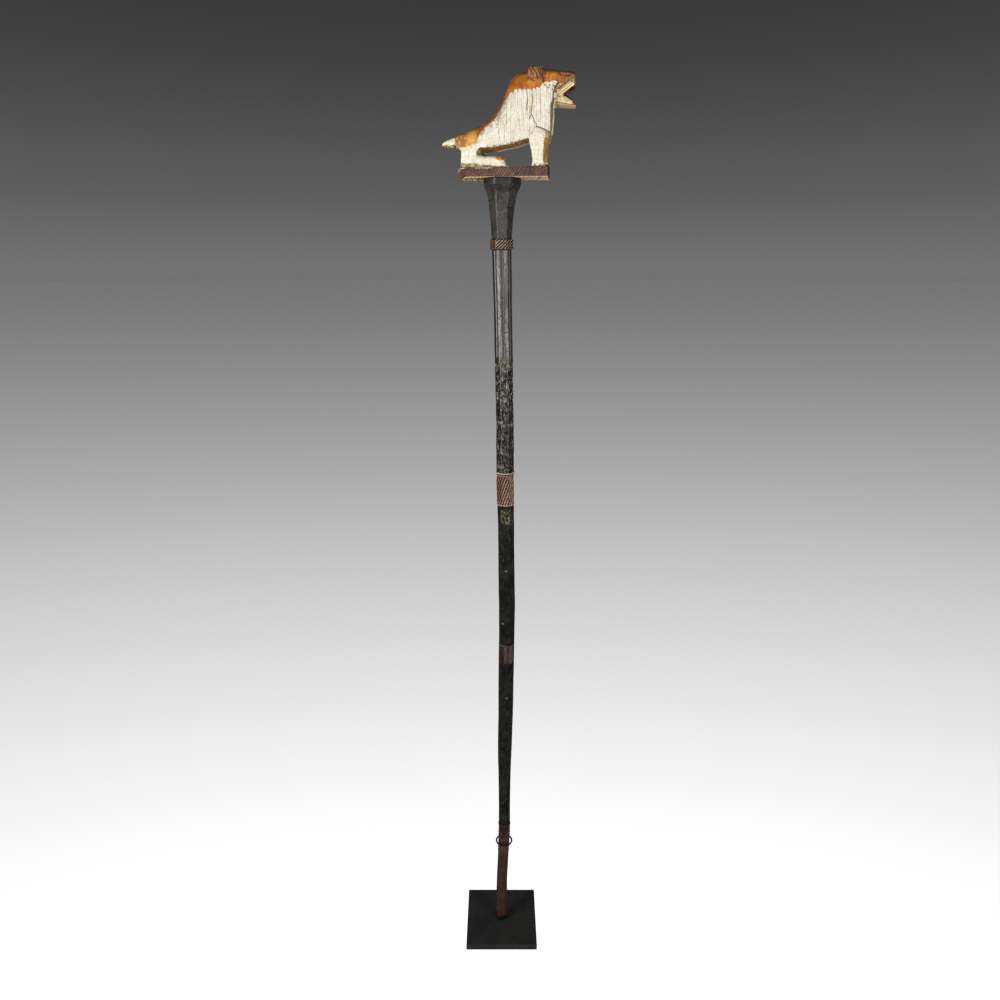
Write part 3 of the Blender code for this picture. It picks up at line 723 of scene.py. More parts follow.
# --- the base ---------------------------------------------------------------------------------
def base_piece(finish):
    """The slab under the lion: eased edges, slanting cuts on its sides, pits and a nail hole below."""
    t = Shape("hatched_base", {
        "Length": float(BASE_LENGTH), "Width": float(BASE_WIDTH), "Thickness": BASE_THICK,
        "Edge": BASE_EDGE, "Pitch": HATCH_PITCH, "Depth": HATCH_DEPTH,
    })
    size = t.combine(t.input("Length"), t.input("Width"), t.input("Thickness"))
    half = t.vector("MULTIPLY", size, (0.5, 0.5, 0.5))
    steps = {f"Vertices {axis}": count for axis, count in zip("XYZ", BASE_STEPS)}
    block = t.add("GeometryNodeMeshCube", None, {"Size": size, **steps}, "Mesh")
    position = t.add("GeometryNodeInputPosition")
    edge = t.combine(t.input("Edge"), t.input("Edge"), t.input("Edge"))
    inner = t.vector("SUBTRACT", half, edge)
    core = t.vector("MINIMUM", position, inner)
    core = t.vector("MAXIMUM", core, t.vector("MULTIPLY", inner, (-1, -1, -1)))
    away = t.vector("NORMALIZE", t.vector("SUBTRACT", position, core), (0, 0, 0))
    facing_x, facing_y, facing_z = t.parts(away)
    x, y, z = t.parts(position)
    half_thick = 0.5 * BASE_THICK
    wander = t.noise(position, 0.06, 2) - 0.5
    side = t.blend(abs(facing_z), 0.3, 0.6, 1.0, 0.0)
    along = t.blend(abs(facing_y), 0.5, 0.8)
    run = along * x - (1 - along) * y * facing_x
    phase = (run - 0.8 * z + 9 * wander + 1.6 * (t.noise(position, 0.3, 1) - 0.5)) / t.input("Pitch")
    scored = side * t.blend(t.noise(position, 0.12), 0.34, 0.52, 0.35, 1.0)
    groove = scored * (0.5 + 0.5 * (phase * math.tau).math("COSINE")) ** 1.5
    under = t.blend(facing_z, -0.75, -0.95)
    hole = t.blend(abs(x - NAIL_HOLE), 2.6, 1.8) * t.blend(abs(y), 9, 7) * under
    pit = t.blend(t.noise(position, 0.35, 2), 0.60, 0.70) * under
    push = 0.6 * wander - t.input("Depth") * groove - 0.6 * pit - 1.6 * hole
    out = t.input("Edge") + push
    grown = t.vector("ADD", core, t.vector("MULTIPLY", away, t.combine(out, out, out)))
    tucked = t.profile(z, WORN_END) * t.blend(x, -50, -69) * t.blend(y, 10, -30)
    grown = t.vector("ADD", grown, t.combine(tucked, 0.35 * tucked, 0.0))
    seated = t.vector("ADD", grown, (BASE_SHIFT, 0.0, SEAT - half_thick))
    turned = t.add("ShaderNodeVectorRotate", {"rotation_type": "Z_AXIS"},
                   {"Vector": seated, "Angle": FINIAL_TURN})

    top = t.blend(z + 6 * wander, half_thick - 3.0, half_thick - 1.2) * t.blend(x, -20, -6, 1.0, 0.15)
    corner = 0.62 * t.blend(x + 16 * wander - 1.1 * (z - 6), -55, -66)
    rims = t.blend(abs(z), half_thick - 1.9, half_thick - 0.9)
    # painted highlight: a pale line on the sides near the end under the head
    line = 0.5 * t.blend(x, 65.0, 65.6) * t.blend(x, 66.8, 66.2)
    spilt = top.math("MAXIMUM", corner).math("MAXIMUM", line) * side
    skin = t.store(block, {
        "phase": phase, "hatch": scored, "rim": rims * side, "under": under,
        "lip": t.blend(y, -15, -19) * under * (1 - 0.55 * t.blend(x, -20, 0)),
        "rose": t.blend(x + 0.4 * y, -24, 6),
        "spill_and_highlight": spilt + 0.5 * t.blend(facing_z, 0.5, 0.9),
        # painted shade on the last stretch of the sides at the end under the head, and the dark nail hole
        "dark": (0.8 * t.blend(x, 67.6, 68.4) * side).math("MAXIMUM", hole),
    })
    return t.grow(t.move(skin, t.vector("MULTIPLY", turned, (MM, MM, MM))), finish)


# --- the lion ---------------------------------------------------------------------------------
def between(stations, t):
    """Catmull-Rom value of a list of equal tuples, t running from 0 to the last index."""
    last = len(stations) - 1
    i = min(int(t), last - 1)
    u = t - i
    p0, p1, p2, p3 = (np.array(stations[min(max(i + k, 0), last)], float) for k in (-1, 0, 1, 2))
    return 0.5 * (2 * p1 + (p2 - p0) * u + (2 * p0 - 5 * p1 + 4 * p2 - p3) * u ** 2
                  + (3 * p1 - p0 - 3 * p2 + p3) * u ** 3)


def refine(stations, parts):
    steps = (len(stations) - 1) * parts
    return [tuple(between(stations, k / parts)) for k in range(steps + 1)]


def arc(middle, radii, start, end, count):
    """Points on an ellipse arc, in degrees."""
    angles = np.radians(np.linspace(start, end, count))
    return [(middle[0] + radii[0] * math.cos(a), middle[1] + radii[1] * math.sin(a)) for a in angles]


def arched_ring(x, low, high, half, arch, corner=3.0):
    """Section across X: flat underside with rounded corners, upright sides and an arched top."""
    arch = min(arch, high - low - 2 * corner)
    right = arc((half - corner, low + corner), (corner, corner), -90, 0, 6)
    top = arc((0, high - arch), (half, arch), 0, 180, 31)
    left = [(-y, z) for y, z in reversed(right)]
    return [(x, y, z) for y, z in right + top + left]


def slot_ring(x, low, high, half):
    """Section of a hollow: flat below, its top corners cut off."""
    right = [(half, low), (half, high - 2), (half - 2.5, high)]
    left = [(-y, z) for y, z in reversed(right)]
    return [(x, y, z) for y, z in right + left]


def oblong_ring(z, back, front, inner, outer, side, power=5.0, points=40):
    """Upright leg section: an oblong with rounded corners, its outer front corner cut back."""
    ring = []
    for k in range(points):
        angle = math.tau * (k + 0.5) / points
        c, s = math.cos(angle), math.sin(angle)
        x = 0.5 * (back + front) + 0.5 * (front - back) * math.copysign(abs(c) ** (2 / power), c)
        y = 0.5 * (inner + outer) + 0.5 * (outer - inner) * math.copysign(abs(s) ** (2 / power), s)
        over = (x - front + 6) / 6 + (abs(y) - outer_face(inner, outer) + 8) / 8 - 1
        if over > 0:
            x -= 3.0 * over
            y -= math.copysign(4.0 * over, side)
        ring.append((x, y, z))
    return ring


def outer_face(inner, outer):
    return max(abs(inner), abs(outer))


def round_ring(x, middle, radius, points=32):
    return [(x, radius * math.cos(math.tau * k / points), middle + radius * math.sin(math.tau * k / points))
            for k in range(points)]


def skin_over(form, rings):
    """Adds a closed skin over rings of equal point counts."""
    loops = [[form.verts.new(point) for point in ring] for ring in rings]
    faces = []
    for low, high in zip(loops, loops[1:]):
        for i in range(len(low)):
            j = (i + 1) % len(low)
            faces.append(form.faces.new((low[i], low[j], high[j], high[i])))
    faces += [form.faces.new(loops[0]), form.faces.new(loops[-1])]
    bmesh.ops.recalc_face_normals(form, faces=faces)


def lump_over(form, middle, radii, boxy=0.8):
    """Adds a ball that is squared off a little."""
    made = bmesh.ops.create_uvsphere(form, u_segments=32, v_segments=20, radius=1)
    for vertex in made["verts"]:
        away = (math.copysign(abs(c) ** boxy * r, c) for c, r in zip(vertex.co, radii))
        vertex.co = Vector(away) + Vector(middle)


def solid_lion():
    """Body, head, jaw, legs, tail and ears as overlapping closed skins, in millimetres."""
    form = bmesh.new()
    skin_over(form, [arched_ring(*s) for s in refine(TORSO, 5)])
    skin_over(form, [arched_ring(*s, corner=2) for s in refine(HEAD, 5)])
    skin_over(form, [arched_ring(*s, corner=2) for s in refine(JAW, 4)])
    skin_over(form, [arched_ring(*s) for s in refine(RUMP, 5)])
    skin_over(form, [round_ring(*s) for s in refine(TAIL, 5)])
    for side in (-1, 1):
        for stations in (FRONT_LEG, HIND_LEG):
            skin_over(form, [
                oblong_ring(z, back, front, *sorted((side * LEG_INNER, side * outer)), side)
                for z, back, front, outer in refine(stations, 4)
            ])
        shift = side * 0.5 * (FOOT_OUTER + LEG_INNER)
        foot = []
        for x, right_top, left_top in refine(HIND_FOOT, 4):
            top = right_top if side < 0 else left_top
            ring = arched_ring(x, -SUNK, top, 0.5 * (FOOT_OUTER - LEG_INNER), min(5, top), 1)
            foot.append([(a, b + shift, c) for a, b, c in ring])
        skin_over(form, foot)
        for ear_x, ear_y, ear_z, *radii in EAR_LOBES:
            lump_over(form, (ear_x, side * ear_y, ear_z), radii)
    return form


def as_mesh(form, name):
    mesh = bpy.data.meshes.new(name)
    form.to_mesh(mesh)
    form.free()
    return mesh


def hollowed_lion():
    """The lion's skins made one, with the palate and the lower jaw hollowed and a tongue laid in."""
    lion = new_object("leafed_lion", as_mesh(solid_lion(), "leafed_lion"))
    remesh(lion)
    knives = []
    for stations in (PALATE, TROUGH):
        form = bmesh.new()
        skin_over(form, [slot_ring(*s) for s in refine(stations, 3)])
        knife = new_object("knife", as_mesh(form, "knife"))
        knives.append(knife)
        cut = lion.modifiers.new("hollow", "BOOLEAN")
        cut.operation = "DIFFERENCE"
        cut.object = knife
    settle(lion)
    for knife in knives:
        bpy.data.objects.remove(knife)
    form = bmesh.new()
    form.from_mesh(lion.data)
    skin_over(form, [arched_ring(*s, corner=1.5) for s in refine(TONGUE, 4)])
    lion.data = as_mesh(form, "leafed_lion")
    remesh(lion)
    return lion


def settle(obj):
    """Turns an object's modifiers into its mesh."""
    graph = bpy.context.evaluated_depsgraph_get()
    mesh = bpy.data.meshes.new_from_object(obj.evaluated_get(graph))
    obj.modifiers.clear()
    obj.data = mesh


def remesh(obj):
    modifier = obj.modifiers.new("even", "REMESH")
    modifier.mode = "VOXEL"
    modifier.voxel_size = VOXEL
    settle(obj)


def smooth_step(value, low, high):
    t = np.clip((value - low) / (high - low), 0, 1)
    return t * t * (3 - 2 * t)


def span(value, start, full, fade, end):
    """0 up to start, 1 from full to fade, 0 again from end on."""
    return smooth_step(value, start, full) * smooth_step(value, end, fade)


def near(distance, reach):
    """1 at no distance, fading both ways."""
    return np.exp(-(distance / reach) ** 2)


def ripple(turns):
    """1 at whole numbers, 0 halfway between them."""
    return 0.5 + 0.5 * np.cos(math.tau * turns)


def line_distance(points, line):
    """Distance of points in a plane to a line through corners."""
    best = np.full(len(points), 1e9)
    for start, end in zip(line, line[1:]):
        a, b = np.array(start, float), np.array(end, float)
        share = np.clip(((points - a) @ (b - a)) / max((b - a) @ (b - a), 1e-9), 0, 1)
        best = np.minimum(best, np.linalg.norm(points - a - share[:, None] * (b - a), axis=1))
    return best


def inside_outline(points, outline):
    """Whether each point lies in a closed outline."""
    inside = np.zeros(len(points), bool)
    for (x0, z0), (x1, z1) in zip(outline, outline[1:] + outline[:1]):
        crosses = (points[:, 1] < z0) != (points[:, 1] < z1)
        reach = x0 + (points[:, 1] - z0) / ((z1 - z0) or 1e-9) * (x1 - x0)
        inside ^= crosses & (points[:, 0] < reach)
    return inside


def waves(points, scale, seed):
    """Smooth noise about 0 at points."""
    offset = Vector((seed * 7.3, seed * 3.1, seed * 5.7))
    return np.array([noise.noise(Vector(p) * scale + offset) for p in points])


# Where the lacquer ends and the bare leaf begins, from the rump up the back, along the mane's top
# and under the cheek, seen from the side.
LACQUER_LINE = [
    (-72, 29), (-61, 28.4), (-51.7, 27.6), (-44.6, 30), (-37.4, 34), (-34.5, 37.4), (-32.6, 45),
    (-28.4, 50), (-17.3, 59.9), (-7.5, 67.3), (0.9, 82), (9.1, 94.3), (16.8, 99.7), (23.3, 102.6),
    (35.8, 103), (50, 104), (56.2, 104.6), (60, 107), (62.4, 111), (64.6, 114.4), (68.4, 113.4),
    (72, 113), (75, 115.2), (82, 115), (84.6, 113),
]
LEAF_OUTLINE = LACQUER_LINE + [
    (84, 108), (82, 100), (100, 100), (114, 92), (114, 78), (82, -10), (-72, -10),
]
# Spots seen from the side: the middle and the reach, both as X and Z.
EYE = ((93.4, 126.4), (6.4, 1.8))
TEAR = ((97.6, 122.4), (2.6, 1.3))
LIP_SPOT = ((87.6, 111.2), (2.6, 1.5))
NOSTRIL = ((103, 128.6), (2.2, 1.3))
FRONT_TEETH = [((106, 112.8), (1.5, 1.1)), ((105.6, 110.4), (1.5, 1.1)), ((101, 107.6), (1.5, 1.1))]
MOUTH_CORNER = ((84.4, 100.4), (2.2, 4.4))
ORANGE_TOE = ((-0.8, 13.4), (7.0, 4.4))
TAIL_NICKS = [((-68, 38), (0.9, 2.0)), ((-66.2, 33.4), (0.7, 2.0))]
TAIL_SMEAR = ((-86.5, 33), (4.6, 2.4))
# Cuts seen from the side, as X and Z.
CRACKS = [
    [(38.8, 100.5), (39.6, 90), (38.6, 83), (39, 76.7)],
    [(46.1, 99), (47, 90), (46.2, 82), (45.7, 73.9)],
]
SHOULDER = [(42.6, 65.6), (45.9, 71.8), (50, 63), (53.6, 56.4)]
CHEST_FOLD = [(53.6, 54.6), (57, 53.8), (63, 51.4), (71, 48.4), (78, 45)]
UPPER_LEG = [(53, 55), (49.4, 50.8), (45.6, 46), (40.6, 40.4)]
LOCK_RINGS = [((42.6, 79.4), 1.9), ((44, 74.6), 1.6)]
EAR_LINES = [
    [(46.6, 133.4), (50, 129.6), (52.4, 124.6), (53.6, 118.6)],
    [(42.4, 132), (44.6, 128.6), (46, 124)], [(54.4, 133.6), (57.4, 131.4), (61.4, 131.6)],
    [(57.4, 130.6), (58.4, 126.4), (60, 121)], [(53, 131), (56.4, 126.4), (57.4, 121.4)],
    [(62.6, 134), (61.8, 127), (61.8, 121), (63, 116), (64.6, 112.6)],
]
EAR_UNDER = [(39.6, 121), (43, 117.6), (49, 116)]
EAR_SCRATCHES = [((40.5, 126), (45.5, 118.5)), ((43, 124.5), (48.4, 119)), ((41, 119.5), (47, 125.4))]
BROW = [(72.4, 129.4), (79, 128.8), (86, 127.2)]
EYE_LINE = [(87, 124.4), (93, 123), (98.8, 123.4), (100.6, 125.6)]
MANE_EDGE = [(84.6, 114), (83.2, 110.4), (79.8, 106), (77.8, 99.5), (76.8, 92), (76.4, 84), (75.8, 62)]
CHEEK_PITS = [(64.6, 109.6), (69.4, 106.4), (75.7, 103.9), (76.6, 109.6), (78.2, 108.6), (71, 109)]
LIP_START = (89.6, 97)  # where the upper lip's lower edge leaves the mouth's corner
LIP_RISE = 0.777  # and how much it rises for each mm ahead
LIP_PITCH = 4.1  # between the lip's long grooves
GUM_LOW, GUM_HIGH = 9.6, 16.4  # over that edge
JAW_LINE = [(77, 88), (85.8, 87.4), (93.2, 86.2), (100.5, 85.2), (105, 84.8)]
JAW_STREAK = [(83.6, 96.8), (86, 94.6), (89.4, 90.4)]
FOOT_SEAM = [(-61, 6.6), (-36, 6.4), (-30, 4.6), (-6, 2.2)]
# Edges that are not cut as lines: all the X and all the Z.
BELLY_EDGE = [(-33, -18, 4, 30, 56), (27.5, 28, 30.5, 36.5, 41.5)]
TAIL_RIM = [(-92, -72), (37.6, 44.4)]
FOOT_GRIME = [(-61, -34, -6), (5.2, 4.4, 0.6)]
CURL = (-19, 34)  # middle of the mane's curl on the rump
MANE_PITCH = 3.1  # between the mane's fine lines
LOCK_PITCH = 6.4  # between the scallops of its top edge
PALATE_PITCH = 3.9
STREAK_PITCH = 2.6  # between the streaks at the jaw's corner
RIB_PITCH = 4.4  # between the throat's upright ribs
NOTCH_PITCH = 3.9  # between the notches up the front legs
NOTCH_LINE = 64.4  # X of those notches
SHIN_LINE = 22.5  # how far the shins' cuts lie from the middle
TOE_PITCH = 6.4
TOE_MIDDLE = 0.5 * (FOOT_OUTER + LEG_INNER)
CLAW_PITCH = 4.4
TAIL_RING = -70.6  # X of the ring where the white tip begins


# In the cutting functions x, y and z are the carving's own millimetres, so a number beside one of
# them is a place on the lion.  The other numbers are depths in millimetres and strengths of paint.
class Skin:
    """The lion's skin as points and normals, with how deep it is cut and what is painted on it."""

    def __init__(self, mesh):
        place = np.zeros(len(mesh.vertices) * 3)
        normal = np.zeros(len(mesh.vertices) * 3)
        mesh.vertices.foreach_get("co", place)
        mesh.vertex_normals.foreach_get("vector", normal)
        self.place, self.normal = place.reshape(-1, 3), normal.reshape(-1, 3)
        self.x, self.y, self.z = self.place.T
        self.flat = self.place[:, (0, 2)]
        self.side = smooth_step(abs(self.normal[:, 1]), 0.35, 0.75)
        self.ahead = smooth_step(self.normal[:, 0], 0.35, 0.75)
        self.below = smooth_step(-self.normal[:, 2], 0.5, 0.85)
        self.outer = smooth_step(abs(self.y), 11, 16)
        self.depth = np.zeros(len(self.x))
        self.paint = {}

    def mark(self, where, **paint):
        """Paints each named field, where it is stronger than what the field already has."""
        for name, strength in paint.items():
            self.paint[name] = np.maximum(self.paint.get(name, 0.0), strength * where)

    def score(self, line, width, deep, where=1.0, **paint):
        """Cuts along a line of corners seen from the side."""
        scored = where * near(line_distance(self.flat, line), width)
        self.depth += deep * scored
        self.mark(scored, **paint)

    def spot(self, middle, reach):
        """1 inside an ellipse seen from the side, 0 outside."""
        away = np.hypot((self.x - middle[0]) / reach[0], (self.z - middle[1]) / reach[1])
        return smooth_step(away, 1.15, 0.85)


def cut_mane(skin):
    """Fine upright lines below the lacquer's scalloped edge, curling on the rump, with cracks."""
    x, y, z = skin.x, skin.y, skin.z
    drift = waves(skin.place * (1, 1, 0.12), 0.35, 2)
    edge = line_distance(skin.flat, LACQUER_LINE)
    border = np.where(inside_outline(skin.flat, LEAF_OUTLINE), edge, -edge)
    border += 0.9 * waves(skin.place, 0.12, 1)
    crown = span(x, 8, 16, 57, 62) * smooth_step(z, 80, 90) * skin.side
    lock = abs(np.sin(math.pi * (x + 3.2 * drift) / LOCK_PITCH)) ** 0.7
    border += crown * (3.4 + 2.6 * drift) * (lock - 0.55)
    cusp = crown * near(border - 0.4, 1.5) * smooth_step(lock, 0.75, 0.2)

    curl = np.hypot(x - CURL[0], z - CURL[1])
    curled = smooth_step(curl, 30, 14)
    across = x + 0.0004 * (x - 30) * (z - 70) + 1.1 * drift
    comb = ((1 - curled) * across + curled * (CURL[0] + curl)) / MANE_PITCH
    mane = smooth_step(x, -33, -25) * smooth_step(z, 22, 30) * smooth_step(border, -0.3, 1.2)
    mane *= smooth_step(x, 82, 76) * (1 - 0.85 * smooth_step(z, 50, 42) * smooth_step(x, 36, 40))
    mane *= 0.45 + 0.9 * np.clip(waves(skin.place * (1, 1, 0.15), 0.2, 3) + 0.3, 0, 1)
    mane *= 1 - 0.55 * curled
    groove = mane * skin.side * ripple(comb) ** 2
    front = smooth_step(skin.normal[:, 0], 0.4, 0.8)
    comb_front = ripple((y + 1.1 * drift) / MANE_PITCH) ** 2
    skin.depth += 0.55 * groove + 0.5 * mane * front * comb_front + 1.0 * cusp
    skin.paint["border"] = border
    skin.paint["comb"] = comb
    skin.mark(mane * skin.side, mane=1)
    skin.mark(cusp, cut=1)
    skin.mark(mane * front * comb_front, cut=0.35)
    for crack in CRACKS:
        skin.score(crack, 0.75, 1.6, skin.outer, cut=1.0)
    for middle, reach in LOCK_RINGS:
        ring = abs(np.hypot(x - middle[0], z - middle[1]) - reach)
        skin.mark(smooth_step(ring, 1.0, 0.2) * skin.outer, cut=0.7)
    skin.score(SHOULDER, 0.9, 1.8, skin.outer, cut=0.9)
    skin.score(UPPER_LEG, 0.9, 1.4, skin.outer, cut=0.55)
    skin.score(CHEST_FOLD, 1.1, 2.2, skin.outer, cut=1.0, brown=0.7)
    skin.mark(span(x, -56, -44, 4, 24) * near(border - 1.0, 2.6), soot=0.6)
    skin.mark(span(x, -40, -28, 0, 16) * smooth_step(z, 46, 62), soot=0.4)


def cut_head(skin):
    """Ears, pits in the cheek, brow, eye and nose."""
    x, z = skin.x, skin.z
    over_ear = skin.outer * span(x, 37, 40, 65, 68) * smooth_step(z, 113, 116)
    for line in EAR_LINES:
        skin.score(line, 0.85, 1.5, over_ear, cut=1.0)
    skin.score(EAR_UNDER, 1.4, 0.9, over_ear, cut=0.5)
    for line in EAR_SCRATCHES:
        skin.score(line, 0.45, 0.4, over_ear, cut=0.55)
    for pit in CHEEK_PITS:
        skin.score([pit, (pit[0] + 0.5, pit[1])], 1.3, 1.2, skin.outer, cut=1.0)
    skin.mark(over_ear * smooth_step(z, 115, 119), dusky=0.62)
    skin.mark(over_ear * skin.side * smooth_step(z, 117, 122) * smooth_step(x, 62, 56), worn=0.5)

    snout = on_snout(skin)
    skin.score(BROW, 1.0, 0.8, snout, red=0.75)
    skin.score(EYE_LINE, 0.8, 1.0, snout, red=0.75)
    eye = skin.spot(*EYE) * snout
    skin.depth -= 0.7 * eye
    skin.mark(eye, dull=0.6)
    skin.mark(skin.spot(*TEAR) * snout, red=0.9)
    skin.mark(skin.spot(*LIP_SPOT) * snout, pink=0.7)
    skin.mark(skin.spot(*NOSTRIL), claw=0.8)
    skin.mark(smooth_step(x, 80, 88) * smooth_step(z, 117, 122), rust=0.7)
    skin.mark(smooth_step(x, 62, 70) * smooth_step(z, 126, 130), dusky=0.6)
    skin.mark(smooth_step(x, 99, 104) * smooth_step(z, 112, 115), soot=0.8)
    skin.mark(smooth_step(x, 70, 78) * smooth_step(z, 120, 124), soot=0.55)
    skin.mark(smooth_step(x, 100.5, 104) * smooth_step(z, 114, 117), brown=0.75, claw=0.5)
    skin.mark(smooth_step(x, 104.2, 105.6) * smooth_step(z, 108, 110), brown=0.9)


def on_snout(skin):
    return smooth_step(abs(skin.y), 7, 10) * smooth_step(skin.x, 70, 74)


def over_lip(skin):
    """How high a point is over the upper lip's lower edge, and 1 on and above that lip."""
    over = skin.z - (LIP_START[1] + (skin.x - LIP_START[0]) * LIP_RISE)
    upper = smooth_step(skin.x, 83, 84.6) * smooth_step(over, -3, -2) * smooth_step(skin.z, 96.4, 97.6)
    return over, upper


def cut_lip(skin):
    """The upper lip: a dark gum over a light strip with long grooves, two teeth and the palate."""
    x, y = skin.x, skin.y
    over, upper = over_lip(skin)
    strip = upper * smooth_step(over, GUM_LOW + 0.6, GUM_LOW - 0.2) * smooth_step(x, 107.6, 105.6)
    gum = upper * span(over, GUM_LOW - 0.2, GUM_LOW + 0.8, GUM_HIGH - 3, GUM_HIGH)
    gum *= smooth_step(x, 105, 101) * on_snout(skin)
    skin.depth += (0.9 + 0.4 * np.cos(math.tau * over / LIP_PITCH)) * strip * skin.side
    skin.depth += 0.6 * near(over - GUM_LOW - 0.4, 0.8) * upper * on_snout(skin)
    skin.paint["lip"] = np.clip(over, -LIP_PITCH, 2 * GUM_HIGH)
    skin.mark(strip * skin.side, tooth=1)
    skin.mark(gum, brown=0.95, claw=0.52)
    for place in FRONT_TEETH:
        tooth = skin.spot(*place)
        skin.depth -= 0.3 * tooth
        skin.mark(tooth, pearl=0.6)
    palate = upper * skin.below
    skin.depth += 0.8 * palate * ripple(abs(y) / PALATE_PITCH) ** 3
    skin.mark(palate, red=0.85)
    # inside the upper jaw: red paint darkened with painted shade
    skin.mark(upper * smooth_step(jaw_half(x) - abs(y), 1.6, 2.6), dull=0.95, red=0.6)


def cut_jaw(skin):
    """The lower jaw, the tongue, the mouth's corner and the mane's edge behind it, cut as a groove with
    painted shadow in it.
    """
    x, y, z = skin.x, skin.y, skin.z
    _, upper = over_lip(skin)
    low_jaw = smooth_step(x, 78.6, 80.6) * smooth_step(z, 102.6, 101.6) * (1 - upper)
    rim = low_jaw * smooth_step(skin.normal[:, 2], 0.3, 0.7) * smooth_step(jaw_half(x) - abs(y), 4, 3)
    flat = low_jaw * smooth_step(-skin.normal[:, 2], 0.75, 0.95)
    skin.mark(low_jaw, jaw=1)
    skin.mark(rim * smooth_step(x, 103, 100), pink=0.5)
    skin.mark(flat * smooth_step(x, 84, 90), pink=0.56)
    skin.mark(low_jaw * skin.below * smooth_step(x, 92, 84), brown=0.55)
    streaks = ripple(x / STREAK_PITCH) ** 3 * smooth_step(x, 87, 84)
    skin.mark(low_jaw * skin.side * streaks, brown=0.8)
    skin.score(JAW_LINE, 1.2, 0.7, low_jaw, brown=0.95)
    skin.score(JAW_STREAK, 0.7, 0.4, low_jaw, brown=0.8)
    tip = smooth_step(x, 104.6, 105.8) * smooth_step(z, 96, 95)
    skin.mark(tip * (1 - skin.below), gore=1)
    skin.mark(tip * skin.below, pink=1)
    mouth = smooth_step(x, 78, 80) * smooth_step(jaw_half(x) - abs(y), 3, 4.5) * smooth_step(z, 91, 93)
    skin.mark(mouth * smooth_step(z - 94 - (x - 80), 12, 8) * smooth_step(z, 106, 102), red=1)
    skin.mark(skin.spot(*MOUTH_CORNER) * skin.outer, tooth=0.8, brown=0.5)
    behind = span(x, 78, 79.6, 82.8, 84.4) * span(z, 98.6, 100.4, 108, 111)
    skin.mark(behind * skin.outer, brown=0.85)
    # a groove along the mane's edge, with painted shadow in it
    skin.score(MANE_EDGE, 1.5, 1.8, skin.outer, dull=0.95)


def jaw_half(x):
    return np.interp(x, [s[0] for s in JAW], [s[3] for s in JAW])


def cut_feet(skin):
    """Toes, claws, the hind foot's orange toe and the grime where the feet meet the base."""
    x, y, z = skin.x, skin.y, skin.z
    toes = smooth_step(z, 12, 8) * np.where(x > 30, smooth_step(x, 62, 67), smooth_step(x, -2, 2))
    gaps = toes * ripple((abs(y) - TOE_MIDDLE) / TOE_PITCH) ** 4
    skin.depth += 1.3 * gaps
    skin.mark(gaps, cut=1)
    hind_claw = span(x, -1, 2, 9, 12) * smooth_step(z, 13.6, 12.4)
    hind_claw *= ripple((0.8 * x + z) / CLAW_PITCH) ** 2
    fore_claw = smooth_step(x, 66, 68) * smooth_step(z, 4.6, 3.4)
    skin.mark(np.maximum(hind_claw, fore_claw), claw=0.85)
    near_side = smooth_step(-y, 8, 10)
    skin.mark(skin.spot(*ORANGE_TOE) * near_side, orange=1)
    skin.mark(span(x, -36, -32, 1, 4) * span(z, 13.4, 15, 18, 19) * near_side, pink=0.42)

    wave = 1.6 * waves(skin.place * (1, 0.2, 0), 0.14, 6)
    height = wave + np.where(x > 30, 1.8, np.interp(x, *FOOT_GRIME))
    skin.mark(smooth_step(z, height + 1, height - 0.6) * smooth_step(x, 72, 66), moss=0.95)
    skin.score(FOOT_SEAM, 0.8, 0.5, skin.outer, cut=0.55)
    skin.mark(skin.outer * smooth_step(z, 4.6, 2.6) * smooth_step(x, 40, 44), soot=0.8)


def cut_belly(skin):
    """The gilded underside, flaked on the lion's left, and its ragged edge, darkened as painted shade."""
    x, y, z = skin.x, skin.y, skin.z
    sway = 2.4 * waves(skin.place * (1, 0.3, 0), 0.16, 8)
    belly = span(z, 20, 24, 46, 50)
    skin.mark(smooth_step(-skin.normal[:, 2], 0.35, 0.6) * belly, belly=1)
    skin.mark(smooth_step(y + sway, 3, 6) * span(x, -14, -4, 48, 54), fringe=0.95)
    hem = near(y + sway + 1, 2.6) + near(y + sway + 22, 3)
    skin.mark(hem * smooth_step(-skin.normal[:, 2], 0.4, 0.7) * belly, soot=0.75)
    # painted shade along the belly's lower edge
    edge = near(z - np.interp(x, *BELLY_EDGE), 1.4) * span(x, -36, -32, 40, 44) * skin.outer
    skin.depth += 0.5 * edge * np.clip(waves(skin.place, 0.35, 7) + 0.2, 0, 1)
    skin.mark(edge, soot=0.95)


